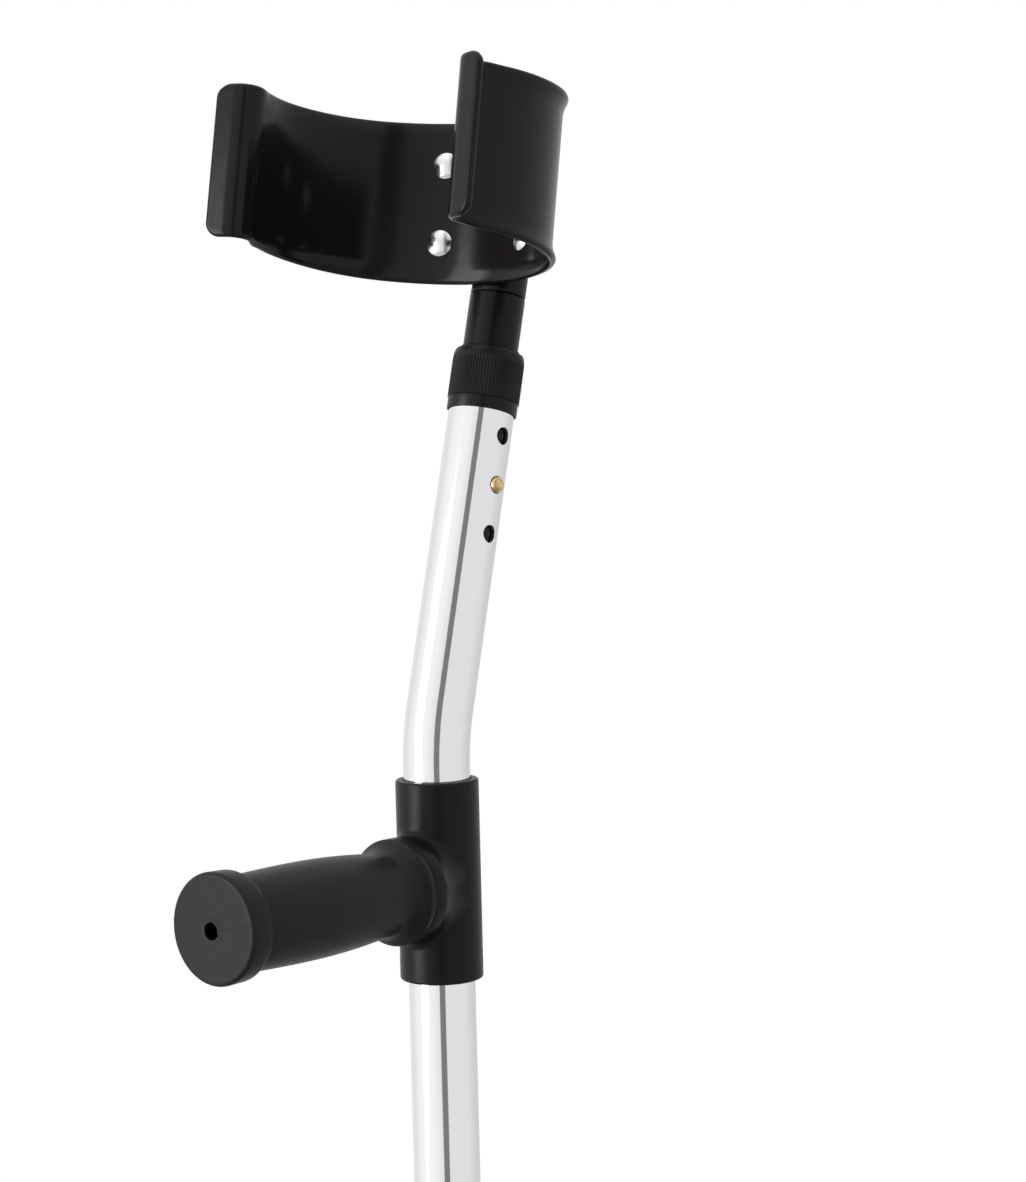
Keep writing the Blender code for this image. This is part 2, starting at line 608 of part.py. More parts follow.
# Snap buttons: each rides on a leaf that bends inwards from the bow of its spring
def button_profile():
    """From the dome's top down to the peened end of the tenon inside the leaf."""
    seat = LEAF_REACH + CLEAR
    inside = LEAF_REACH - LEAF_THICKNESS - CLEAR
    return (dome(BUTTON_RADIUS, BUTTON_DOME, BUTTON_SHOULDER, 4, upward=True)
            + [(BUTTON_RADIUS, seat), (TENON_RADIUS, seat), (TENON_RADIUS, inside),
               (TENON_HEAD_RADIUS, inside), (TENON_HEAD_RADIUS, inside - TENON_HEAD_HEIGHT),
               (0, inside - TENON_HEAD_HEIGHT)])


def snap_clip(prefix, parent, button_height, away):
    """A bow and two leaves with a button each; away is +1 if the buttons are above the bow."""
    bow_height = button_height - away * LEAF_LENGTH
    radius = LEAF_REACH - LEAF_THICKNESS / 2
    columns = 12

    def bow_point(column, row):
        angle = pi * column / columns
        return (radius * cos(angle), LEAF_WIDTH * (row - 0.5),
                bow_height - away * (CLEAR / 2 + radius * sin(angle)))

    bow = piece(prefix + "_clip_bow", sheet_mesh(prefix + "_clip_bow", columns, 1, bow_point),
                SPRING_STEEL, parent)
    thicken(bow, LEAF_THICKNESS, 0)
    for side, hand in ((-1, "left"), (1, "right")):
        pivot = frame_at(prefix + "_button_" + hand + "_axis", parent,
                         place=(side * radius, 0, bow_height))
        start = away * CLEAR / 2
        end = away * (LEAF_LENGTH + LEAF_OVERRUN)
        leaf = piece(prefix + "_leaf_" + hand,
                     block_mesh(prefix + "_leaf_" + hand,
                                (-LEAF_THICKNESS / 2, -LEAF_WIDTH / 2, min(start, end)),
                                (LEAF_THICKNESS / 2, LEAF_WIDTH / 2, max(start, end))),
                     SPRING_STEEL, pivot)
        spot = frame_at(prefix + "_button_" + hand + "_seat", pivot,
                        place=(-side * radius, 0, away * LEAF_LENGTH), turn=(0, side * pi / 2, 0))
        combine(leaf, rods(prefix + "_tenon_hole_" + hand, TENON_RADIUS + CLEAR,
                           [((0, 0, 0), (0, 0, 2 * LEAF_REACH))], spot, sides=SMALL_SIDES))
        turned(prefix + "_button_" + hand, button_profile(), BRASS, spot, HOLE_SIDES)


snap_clip("arm", ARM, ARM_BUTTON, away=-1)
snap_clip("leg", LEG, LEG_BUTTON, away=1)


# Cuff: a flared strip that runs round the forearm and turns out into a lip at each end
def cuff_outline():
    """Half of the strip's middle line as (x, y, heading, share of the flare) points.

    It starts at the middle of the back. The heading is 0 there and grows round the side.
    """
    stretches = ((CUFF_BACK_RADIUS, CUFF_BACK_TURN, 5), (CUFF_SIDE_RADIUS, CUFF_SIDE_TURN, 8))
    x, y, heading = 0.0, -CUFF_BACK, 0.0
    points = [(x, y, heading, 1.0)]
    for radius, sweep, steps in stretches:
        for k in range(1, steps + 1):
            ahead = heading + sweep / steps
            x += radius * (sin(ahead) - sin(heading))
            y += radius * (cos(ahead) - cos(heading))
            heading = ahead
            points.append((x, y, heading, 1.0))
    arm_steps = 4
    for k in range(1, arm_steps + 1):
        x += CUFF_ARM / arm_steps * cos(heading)
        y -= CUFF_ARM / arm_steps * sin(heading)
        fade = max(0, (k / arm_steps - 0.4) / 0.6)
        points.append((x, y, heading, 1 - fade * fade * (3 - 2 * fade)))
    lip_steps = 4
    for k in range(1, lip_steps + 1):
        ahead = heading - LIP_TURN / lip_steps
        x -= LIP_RADIUS * (sin(ahead) - sin(heading))
        y -= LIP_RADIUS * (cos(ahead) - cos(heading))
        heading = ahead
        points.append((x, y, heading, 0.0))
    return points


CUFF_POINTS = cuff_outline()
LIP_SHARES = (0.35, 0.62, 0.82, 0.95, 1.0)


def cuff_height_range(heading, share):
    """The strip's lower and upper rim at a heading; the back is a little taller."""
    back = (1 + cos(heading)) / 2 * share
    return -CUFF_BELOW - CUFF_BACK_DROP * back, CUFF_ABOVE + CUFF_BACK_RISE * back


def flare(depth):
    """How far the strip leans out at this depth below the start of its flare."""
    return FLARE_RADIUS - sqrt(FLARE_RADIUS ** 2 - depth ** 2)


FLARE_ROWS = 3


def cuff_point(column, row):
    """A point of the strip's middle surface; rows run from the lower rim to the upper."""
    last = len(CUFF_POINTS) - 1
    x, y, heading, share = CUFF_POINTS[min(column, last)]
    shorten = 0.0
    if column > last:
        along = LIP_FLAT * LIP_SHARES[column - last - 1]
        x += along * cos(heading)
        y -= along * sin(heading)
        inside = max(along - (LIP_FLAT - LIP_CORNER), 0)
        shorten = LIP_CORNER - sqrt(LIP_CORNER ** 2 - inside ** 2)
    low, high = cuff_height_range(heading, share)
    low -= LIP_RISE * (1 - share)
    high += LIP_RISE * (1 - share)
    low += shorten
    high -= shorten
    upper = row > FLARE_ROWS
    step = (2 * FLARE_ROWS + 1 - row) if upper else row
    reach = min(FLARE_HEIGHT, (high - low) / 2)
    depth = reach * (1 - step / FLARE_ROWS)
    height = high - reach + depth if upper else low + reach - depth
    lean = flare(depth) * share
    return (x + lean * sin(heading), y + lean * cos(heading), height)


forearm_cuff = piece("forearm_cuff",
                     sheet_mesh("forearm_cuff", len(CUFF_POINTS) - 1 + len(LIP_SHARES),
                                2 * FLARE_ROWS + 1, cuff_point), CUFF_VINYL, CUFF_FRAME)
halves = forearm_cuff.modifiers.new("other_half", "MIRROR")
halves.use_clip = True
halves.merge_threshold = 0.00001
thicken(forearm_cuff, CUFF_WALL, 0)

# Bracket: a spigot in the stem, a band under the cuff's rim, a spine and a riveted saddle
ARC_CENTRE = frame_at("cuff_back_centre", CUFF_FRAME, place=(0, -CUFF_BACK - CUFF_BACK_RADIUS, 0))


def saddle_point(column, row, columns, rows):
    """The saddle's face towards the cuff, cut back to its clearance afterwards."""
    angle = SADDLE_SPREAD * (2 * column / columns - 1)
    radius = CUFF_BACK_RADIUS
    edge = (SADDLE_SPREAD - abs(angle)) * radius
    inside = max(SADDLE_CORNER - edge, 0)
    shorten = SADDLE_CORNER - sqrt(max(SADDLE_CORNER ** 2 - inside ** 2, 0))
    low, high = -SADDLE_BELOW + shorten, SADDLE_ABOVE - shorten
    return (radius * sin(angle), radius * cos(angle), low + (high - low) * row / rows)


def bracket_profile():
    spigot = INNER_BORE_RADIUS - CLEAR
    return [(0, BAND_FOOT + 1.5 * SPINE_FRONT_HEIGHT),
            (INNER_RADIUS, BAND_FOOT + 1.5 * SPINE_FRONT_HEIGHT),
            (INNER_RADIUS, BAND_FOOT), (spigot, BAND_FOOT),
            (spigot, STEM_TOP - SPIGOT_LENGTH), (SPIGOT_CORE_RADIUS, STEM_TOP - SPIGOT_LENGTH),
            (SPIGOT_CORE_RADIUS, BAND_FOOT), (0, BAND_FOOT)]


def clearance_profile():
    """The cuff's outer surface with its lower flare, grown by the clearance."""
    flare_start = FLARE_HEIGHT - CUFF_BELOW - CUFF_BACK_DROP
    steps = 6
    flank = [(CUFF_BACK_RADIUS + FLARE_RADIUS
              - (FLARE_RADIUS - CUFF_WALL / 2 - CLEAR) * cos(FLARE_ANGLE * k / steps),
              flare_start - (FLARE_RADIUS - CUFF_WALL / 2) * sin(FLARE_ANGLE * k / steps))
             for k in range(steps + 1)]
    bottom = -RIM_DEPTH - CLEAR
    return ([(0, 2 * CUFF_ABOVE), (SADDLE_RADIUS, 2 * CUFF_ABOVE)] + flank
            + [(flank[-1][0], bottom), (0, bottom)])


def slope_mesh():
    """Everything above the slanting top of the spine."""
    rise = SPINE_FRONT_HEIGHT - SPINE_BACK_HEIGHT
    slant = atan2(rise, 2 * INNER_RADIUS)
    size = 4 * SPINE_FRONT_HEIGHT
    mesh = block_mesh("spine_top", (-size / 2, -size / 2, 0), (size / 2, size / 2, size))
    middle = BAND_FOOT + (SPINE_FRONT_HEIGHT + SPINE_BACK_HEIGHT) / 2
    mesh.transform(Matrix.Translation((0, 0, middle)) @ Matrix.Rotation(-slant, 4, "X"))
    return mesh


cuff_bracket = turned("cuff_bracket", bracket_profile(), BLACK_NYLON, ARM, TUBE_SIDES)
combine(cuff_bracket, cutter("spine_top", slope_mesh(), ARM))
saddle_mesh = sheet_mesh("saddle", 16, 1, lambda column, row: saddle_point(column, row, 16, 1))
saddle = cutter("saddle", saddle_mesh, ARC_CENTRE)
thicken(saddle, CUFF_WALL / 2 + CLEAR + SADDLE_THICKNESS, -1)
combine(cuff_bracket, saddle, "UNION")
combine(cuff_bracket, turned_cutter("cuff_clearance", clearance_profile(), ARC_CENTRE, 96))
combine(cuff_bracket, pin_hole)
turned("bracket_pin", rod_profile(PIN_RADIUS, PIN_INNER_END, PIN_OUTER_END), ZINC_STEEL,
       frame_at("pin_axis", ARM, place=(0, 0, pin_height), turn=(-pi / 2, 0, 0)), SMALL_SIDES)


# Rivets through cuff and saddle, with a washer behind the saddle
def rivet_profile():
    """From the formed tail behind the washer down to the domed head inside the cuff."""
    column_bow = 1 - cos(CUFF_BACK_TURN / 10)
    inner = CUFF_BACK_RADIUS - CUFF_WALL / 2
    sagitta = inner - sqrt(inner ** 2 - RIVET_HEAD_RADIUS ** 2)
    seat = inner * (1 - column_bow) - sagitta - CLEAR
    tail = SADDLE_RADIUS + SADDLE_THICKNESS + RIVET_WASHER_THICKNESS + 2 * CLEAR
    return (dome(RIVET_TAIL_RADIUS, RIVET_TAIL_HEIGHT, tail, 3, upward=True)
            + [(RIVET_RADIUS, tail), (RIVET_RADIUS, seat)]
            + dome(RIVET_HEAD_RADIUS, RIVET_HEAD_HEIGHT, seat, 4, upward=False))


rivet_washer_foot = SADDLE_RADIUS + SADDLE_THICKNESS + CLEAR
rivet_number = 0
for rivet_side in (-1, 1):
    for rivet_step in (-0.5, 0.5):
        rivet_number += 1
        number = str(rivet_number)
        spot = frame_at("rivet_axis_" + number, ARC_CENTRE,
                        place=(0, 0, RIVET_CENTRE + rivet_step * RIVET_PITCH),
                        turn=(-pi / 2, 0, -rivet_side * RIVET_SWING))
        turned("cuff_rivet_" + number, rivet_profile(), NICKEL, spot, HOLE_SIDES)
        turned("rivet_washer_" + number,
               ring_profile(RIVET_WASHER_RADIUS, RIVET_RADIUS + CLEAR, rivet_washer_foot,
                            rivet_washer_foot + RIVET_WASHER_THICKNESS),
               ZINC_STEEL, spot, SMALL_SIDES, closed=True)
        rivet_hole = rods("rivet_hole_" + number, RIVET_RADIUS + CLEAR,
                          [((0, 0, CUFF_BACK_RADIUS / 2), (0, 0, CUFF_BACK_RADIUS * 1.5))],
                          spot, sides=SMALL_SIDES)
        combine(forearm_cuff, rivet_hole)
        combine(cuff_bracket, rivet_hole)


# Ferrule: a rubber foot pushed over the leg, with a steel washer under the tube's end
def ferrule_profile():
    neck = FERRULE_BORE_RADIUS + FERRULE_WALL
    bead = neck + FERRULE_BEAD
    swell = FERRULE_FOOT_RADIUS - neck
    slope = FERRULE_NECK_FOOT - FERRULE_FOOT_HEIGHT
    flank = [(neck + swell * (1 - cos(radians(a))), FERRULE_NECK_FOOT - slope * sin(radians(a)))
             for a in (0, 25, 50, 70, 90)]
    sole = []
    radius = FERRULE_CENTRE_RADIUS + FERRULE_GROOVE_PITCH
    for k in range(2):
        outer = radius + FERRULE_GROOVE_WIDTH
        sole += [(outer, 0), (outer, FERRULE_GROOVE_DEPTH), (radius, FERRULE_GROOVE_DEPTH),
                 (radius, 0)]
        radius -= FERRULE_GROOVE_PITCH
    return ([(0, FERRULE_SOLE), (FERRULE_BORE_RADIUS, FERRULE_SOLE),
             (FERRULE_BORE_RADIUS, FERRULE_HEIGHT), (bead, FERRULE_HEIGHT),
             (bead, FERRULE_HEIGHT - FERRULE_BEAD_HEIGHT),
             (neck, FERRULE_HEIGHT - FERRULE_BEAD_HEIGHT - FERRULE_BEAD)]
            + flank + arc(FERRULE_FOOT_RADIUS - FERRULE_EDGE, FERRULE_EDGE, FERRULE_EDGE, 0, -90, 2)
            + sole + [(0, 0)])


turned("ferrule", ferrule_profile(), RUBBER, LEG, TUBE_SIDES)
turned("ferrule_washer", rod_profile(INNER_RADIUS - CLEAR, FERRULE_SOLE + CLEAR,
                                     LEG_BOTTOM - CLEAR), ZINC_STEEL, LEG, SMALL_SIDES)
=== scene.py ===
# The looks of an adjustable forearm crutch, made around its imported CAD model.
from math import asin, atan, atan2, cos, pi, radians, sin, sqrt, tan

import bmesh
import bpy
from mathutils import Euler, Matrix, Vector, noise


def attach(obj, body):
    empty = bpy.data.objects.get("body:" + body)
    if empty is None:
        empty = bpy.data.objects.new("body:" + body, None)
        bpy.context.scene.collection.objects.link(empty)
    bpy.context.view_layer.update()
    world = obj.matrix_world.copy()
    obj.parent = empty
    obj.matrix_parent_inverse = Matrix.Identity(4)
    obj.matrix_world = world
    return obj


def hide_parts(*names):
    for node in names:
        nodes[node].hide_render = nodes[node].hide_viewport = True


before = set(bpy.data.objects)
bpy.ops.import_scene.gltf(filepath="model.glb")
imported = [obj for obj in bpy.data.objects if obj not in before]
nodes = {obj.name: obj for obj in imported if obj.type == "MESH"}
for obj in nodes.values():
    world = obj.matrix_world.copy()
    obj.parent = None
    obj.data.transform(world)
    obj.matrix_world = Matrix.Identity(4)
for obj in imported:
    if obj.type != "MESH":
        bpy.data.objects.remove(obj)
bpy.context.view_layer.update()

scene = bpy.context.scene


# Camera: it stands a little above the handle, to the front right of the crutch, with a long
# lens that leaves the foot of the leg out of the picture.
def add_object(name, data):
    """A new object of the scene."""
    made = bpy.data.objects.new(name, data)
    scene.collection.objects.link(made)
    return made


SIGHT_HEIGHT = 0.84264
CAMERA_AZIMUTH = radians(40.58)
CAMERA_DISTANCE = 0.9878
CAMERA_RISE = 0.1746
heading, tip, roll = radians(38.806), radians(3.863), radians(-1.386)

camera_data = bpy.data.cameras.new("camera")
camera_data.sensor_fit = "VERTICAL"
camera_data.sensor_height = 36
camera_data.lens = 79.88
camera = add_object("camera", camera_data)
camera_back = Vector((sin(heading) * cos(tip), -cos(heading) * cos(tip), sin(tip)))
level = Vector((cos(heading), sin(heading), 0))
rise = camera_back.cross(level)
camera_right = level * cos(roll) + rise * sin(roll)
camera_up = rise * cos(roll) - level * sin(roll)
camera_place = Vector((CAMERA_DISTANCE * sin(CAMERA_AZIMUTH),
                       -CAMERA_DISTANCE * cos(CAMERA_AZIMUTH), SIGHT_HEIGHT + CAMERA_RISE))
camera_turn = Matrix((camera_right, camera_up, camera_back)).transposed().to_4x4()
camera.matrix_world = Matrix.Translation(camera_place) @ camera_turn
scene.camera = camera
scene.view_settings.view_transform = "Standard"


# Room: a white studio. Pale cards surround the crutch, with a narrow dark gap on the side that
# the picture is taken from, and one tall lamp leans at the front left.
def shader_node(tree, kind, inputs=None, **settings):
    """A node whose inputs are set to values, or linked to other nodes' sockets."""
    made = tree.nodes.new(kind)
    for setting, value in settings.items():
        setattr(made, setting, value)
    for socket, value in (inputs or {}).items():
        if isinstance(value, bpy.types.NodeSocket):
            tree.links.new(value, made.inputs[socket])
        else:
            made.inputs[socket].default_value = value
    return made


def ramp(tree, value, low, high, start=0.0, end=1.0):
    """The value taken softly from low to high and given as start to end, held at both ends."""
    made = shader_node(tree, "ShaderNodeMapRange",
                       {"Value": value, "From Min": low, "From Max": high, "To Min": start,
                        "To Max": end}, interpolation_type="SMOOTHSTEP")
    return made.outputs["Result"]


def mixed(tree, share, first, second, kind="FLOAT"):
    """From first to second, as the share goes from 0 to 1."""
    return shader_node(tree, "ShaderNodeMix", {"Factor": share, "A": first, "B": second},
                       data_type=kind).outputs["Result"]


def sum_of(tree, operation, first, second):
    return shader_node(tree, "ShaderNodeMath", {0: first, 1: second},
                       operation=operation).outputs[0]


def vector_sum(tree, operation, first, second=None):
    """The same with vectors; a length or a dot product comes out as one value."""
    inputs = {0: first} if second is None else {0: first, 1: second}
    made = shader_node(tree, "ShaderNodeVectorMath", inputs, operation=operation)
    return made.outputs["Value" if operation in ("LENGTH", "DOT_PRODUCT") else "Vector"]


LEFT_CARD = 0.86
RIGHT_CARD, RIGHT_CARD_BEHIND = 0.85, 0.68
GAP_LEVEL = 0.26
GAP_HALF_ANGLE = radians(9.6)
LAMP_AZIMUTH = radians(-27)
LAMP_DISTANCE, LAMP_HEIGHT = 1.9, 1.0
LAMP_LEAN = radians(14)
LAMP_POWER = 23
LAMP_SPILL = 0.18                # what the lamp adds to the card round it
TOP_LIGHT = 0.3
FLOOR_GLOW = 0.12                # what the floor throws back up at matt pieces
FLOOR_SHEEN = 0.38               # what the floor and the low cards show in bright ones
FLOOR_SHEEN_FAR = 0.70           # the same at the floor's edge, where the cards take over
FILL_SHARE = 0.74                # share of the cards' light that reaches matt pieces

world = bpy.data.worlds.new("studio")
scene.world = world
world.use_nodes = True
room = world.node_tree
room.nodes.clear()
aim = shader_node(room, "ShaderNodeTexCoord").outputs["Generated"]
upward = shader_node(room, "ShaderNodeSeparateXYZ", {"Vector": aim}).outputs["Z"]
flat_aim = vector_sum(room, "NORMALIZE", vector_sum(room, "MULTIPLY", aim, (1, 1, 0)))


def toward(azimuth):
    """How nearly a ray's level direction points at this azimuth, as a cosine."""
    return vector_sum(room, "DOT_PRODUCT", flat_aim, (sin(azimuth), -cos(azimuth), 0))


toward_gap = toward(CAMERA_AZIMUTH)
toward_right = toward(CAMERA_AZIMUTH + pi / 2)
right_side = ramp(room, toward_gap, -0.9, 0.3, RIGHT_CARD_BEHIND, RIGHT_CARD)
cards = mixed(room, ramp(room, toward_right, -0.3, 0.3), LEFT_CARD, right_side)
spill = ramp(room, toward(LAMP_AZIMUTH), cos(radians(62)), 1.0, 0.0, LAMP_SPILL)
bright = sum_of(room, "ADD", cards, spill)
bright = sum_of(room, "ADD", bright, ramp(room, upward, 0.6, 0.95, 0.0, TOP_LIGHT))
bright = sum_of(room, "MULTIPLY", bright, ramp(room, upward, -0.6, -0.35, FLOOR_SHEEN, 1.0))
gap = ramp(room, toward_gap, cos(GAP_HALF_ANGLE * 1.12), cos(GAP_HALF_ANGLE * 0.88))
seen = sum_of(room, "MULTIPLY", bright, mixed(room, gap, 1, GAP_LEVEL))
fill = sum_of(room, "MULTIPLY", seen, ramp(room, upward, -0.5, 0.15, 0.15, FILL_SHARE))
ray = shader_node(room, "ShaderNodeLightPath").outputs
cast = mixed(room, ray["Is Glossy Ray"], fill, seen)
clear_ray = sum_of(room, "MAXIMUM", ray["Is Camera Ray"], ray["Is Transmission Ray"])
background = shader_node(room, "ShaderNodeBackground",
                         {"Color": (1, 1, 1, 1), "Strength": mixed(room, clear_ray, cast, 1.0)})
shader_node(room, "ShaderNodeOutputWorld", {"Surface": background.outputs[0]})

FLOOR_RADIUS = 1.5


def mesh_of(shape):
    """The mesh of a finished shape."""
    made = bpy.data.meshes.new("shape")
    shape.to_mesh(made)
    shape.free()
    return made


floor_shape = bmesh.new()
bmesh.ops.create_circle(floor_shape, cap_ends=True, segments=96, radius=FLOOR_RADIUS)
floor = add_object("floor", mesh_of(floor_shape))
floor_finish = bpy.data.materials.new("white_floor")
floor_finish.use_nodes = True
sheet = floor_finish.node_tree
sheet.nodes.clear()
spot = shader_node(sheet, "ShaderNodeTexCoord").outputs["Object"]
spread = vector_sum(sheet, "LENGTH", spot)
edge = ramp(sheet, spread, 0.4, 1.3)
sheen = ramp(sheet, spread, 0.15, 1.35, FLOOR_SHEEN, FLOOR_SHEEN_FAR)
floor_ray = shader_node(sheet, "ShaderNodeLightPath").outputs
thrown_back = mixed(sheet, floor_ray["Is Glossy Ray"], FLOOR_GLOW, sheen)
glow_level = mixed(sheet, floor_ray["Is Camera Ray"], thrown_back, 1.0)
glow = shader_node(sheet, "ShaderNodeEmission", {"Color": (1, 1, 1, 1), "Strength": glow_level})
matt = shader_node(sheet, "ShaderNodeBsdfDiffuse", {"Color": (0.92, 0.92, 0.92, 1)})
glow_share = mixed(sheet, floor_ray["Is Camera Ray"], 1, edge)
floor_mix = shader_node(sheet, "ShaderNodeMixShader", {0: glow_share, 1: matt.outputs[0],
                                                       2: glow.outputs[0]})
# Seen from below, the floor is clear
from_below = shader_node(sheet, "ShaderNodeNewGeometry").outputs["Backfacing"]
clear = shader_node(sheet, "ShaderNodeBsdfTransparent")
floor_look = shader_node(sheet, "ShaderNodeMixShader", {0: from_below, 1: floor_mix.outputs[0],
                                                        2: clear.outputs[0]})
shader_node(sheet, "ShaderNodeOutputMaterial", {"Surface": floor_look.outputs[0]})
floor.data.materials.append(floor_finish)

lamp_data = bpy.data.lights.new("tall_lamp", "AREA")
lamp_data.shape = "RECTANGLE"
lamp_data.size, lamp_data.size_y = 0.9, 1.5
lamp_data.energy = LAMP_POWER
lamp = add_object("tall_lamp", lamp_data)
lamp_place = Vector((LAMP_DISTANCE * sin(LAMP_AZIMUTH), -LAMP_DISTANCE * cos(LAMP_AZIMUTH),
                     LAMP_HEIGHT))
lamp_aim = (Vector((0, 0, LAMP_HEIGHT)) - lamp_place).to_track_quat("-Z", "Y")
lamp.matrix_world = (Matrix.Translation(lamp_place) @ lamp_aim.to_matrix().to_4x4()
                     @ Matrix.Rotation(LAMP_LEAN, 4, "Z"))


# Main tube: one length of 25.4 mm aluminium tube, bent above the handle and polished bright.
# Button holes are drilled through both of its ends, and the handle's bolt goes through it.
def raised(height, angle=0.0, axis="X"):
    """Axes moved up by this height and then turned about one of their own."""
    return Matrix.Translation((0, 0, height)) @ Matrix.Rotation(angle, 4, axis)


MAIN_RADIUS = 0.0127
MAIN_BORE = 0.0111
MAIN_BOTTOM = 0.380
HANDLE_HEIGHT = 0.840
CROSSING_HEIGHT = HANDLE_HEIGHT + 0.0556      # where the two straight axes would cross
BEND_ANGLE = radians(14.7)
BEND_RADIUS = 0.085
UPPER_LENGTH = 0.1345
HOLE_RADIUS, BOLT_HOLE_RADIUS = 0.00335, 0.0033
ARM_BUTTON = 0.09805
ARM_PITCH = 0.01905
LEG_BUTTON = 0.4804
LEG_PITCH = 0.0254
PATCH = 0.0056                   # half the side of the square of mesh round a hole

UPPER = raised(CROSSING_HEIGHT, -BEND_ANGLE)
bend_reach = BEND_RADIUS * tan(BEND_ANGLE / 2)
lower_length = CROSSING_HEIGHT - bend_reach - MAIN_BOTTOM
bend_length = BEND_RADIUS * BEND_ANGLE
tube_length = lower_length + bend_length + UPPER_LENGTH - bend_reach


def spaced(first, last, steps):
    """Even steps from first to last, with both of them."""
    return [first + (last - first) * k / steps for k in range(steps + 1)]


def opening_turn(share):
    """The turn at this share of the way round an opening, from its lower left corner."""
    return 2 * pi * share - 0.75 * pi


def main_axis(along):
    """The tube's own axes at this length from its lower end."""
    if along <= lower_length:
        return raised(MAIN_BOTTOM + along)
    if along >= lower_length + bend_length:
        return UPPER @ raised(along - lower_length - bend_length + bend_reach)
    angle = (along - lower_length) / BEND_RADIUS
    place = (0, BEND_RADIUS * (1 - cos(angle)),
             MAIN_BOTTOM + lower_length + BEND_RADIUS * sin(angle))
    return Matrix.Translation(place) @ Matrix.Rotation(-angle, 4, "X")


class Skin:
    """Corners and faces of one mesh, with the direction that each face shades towards."""

    def __init__(self):
        self.places, self.faces, self.shading = [], [], []

    def corner(self, place):
        self.places.append(place)
        return len(self.places) - 1

    def face(self, corners, shading=None):
        self.faces.append(corners)
        self.shading += shading or [(0, 0, 0)] * len(corners)

    def belts(self, rings):
        """Bands of faces between closed rows of corners, from each row to the next."""
        for lower, upper in zip(rings, rings[1:]):
            for k in range(len(lower)):
                after = (k + 1) % len(lower)
                self.face([lower[k], lower[after], upper[after], upper[k]])

    def wrap(self, at, rows, angles, patches=(), inward=False):
        """A skin round an axis, with a shaped opening in the middle of each patch.

        at(row, angle) gives a place and the way out. Returns the rows of corners, and the
        closed row of corners round each opening.
        """
        ways = {}
        count = len(angles)

        def put(row, angle):
            place, way = at(row, angle)
            corner = self.corner(place)
            ways[corner] = -way if inward else way
            return corner

        def side(corners):
            corners = corners[::-1] if inward else corners
            self.face(corners, [tuple(ways[c]) for c in corners])

        grid = [[put(row, angle) for angle in angles] for row in rows]
        open_cells = {(row + i, (column + j) % count) for row, column, tall, wide, _ in patches
                      for i in range(tall) for j in range(wide)}
        for i in range(len(rows) - 1):
            for j in range(count):
                if (i, j) not in open_cells:
                    k = (j + 1) % count
                    side([grid[i][j], grid[i][k], grid[i + 1][k], grid[i + 1][j]])
        openings = []
        for row, column, tall, wide, outline in patches:
            border = ([(row, column + k) for k in range(wide)]
                      + [(row + k, column + wide) for k in range(tall)]
                      + [(row + tall, column + wide - k) for k in range(wide)]
                      + [(row + tall - k, column) for k in range(tall)])
            ring = [grid[i][j % count] for i, j in border]
            starts = [(rows[i], angles[j % count] + 2 * pi * (j // count)) for i, j in border]
            for share in (0.35, 0.7, 1.0):
                inner = []
                for k, (start_row, start_angle) in enumerate(starts):
                    end_row, end_angle = outline(k / len(border))
                    inner.append(put(start_row + (end_row - start_row) * share,
                                     start_angle + (end_angle - start_angle) * share))
                for k in range(len(ring)):
                    after = (k + 1) % len(ring)
                    side([ring[k], ring[after], inner[after], inner[k]])
                ring = inner
            openings.append(ring)
        return grid, openings

    def mesh(self, sharp=radians(40)):
        made = bpy.data.meshes.new("skin")
        made.from_pydata(self.places, [], self.faces)
        made.shade_smooth()
        made.set_sharp_from_angle(angle=sharp)
        made.normals_split_custom_set(self.shading)
        return made


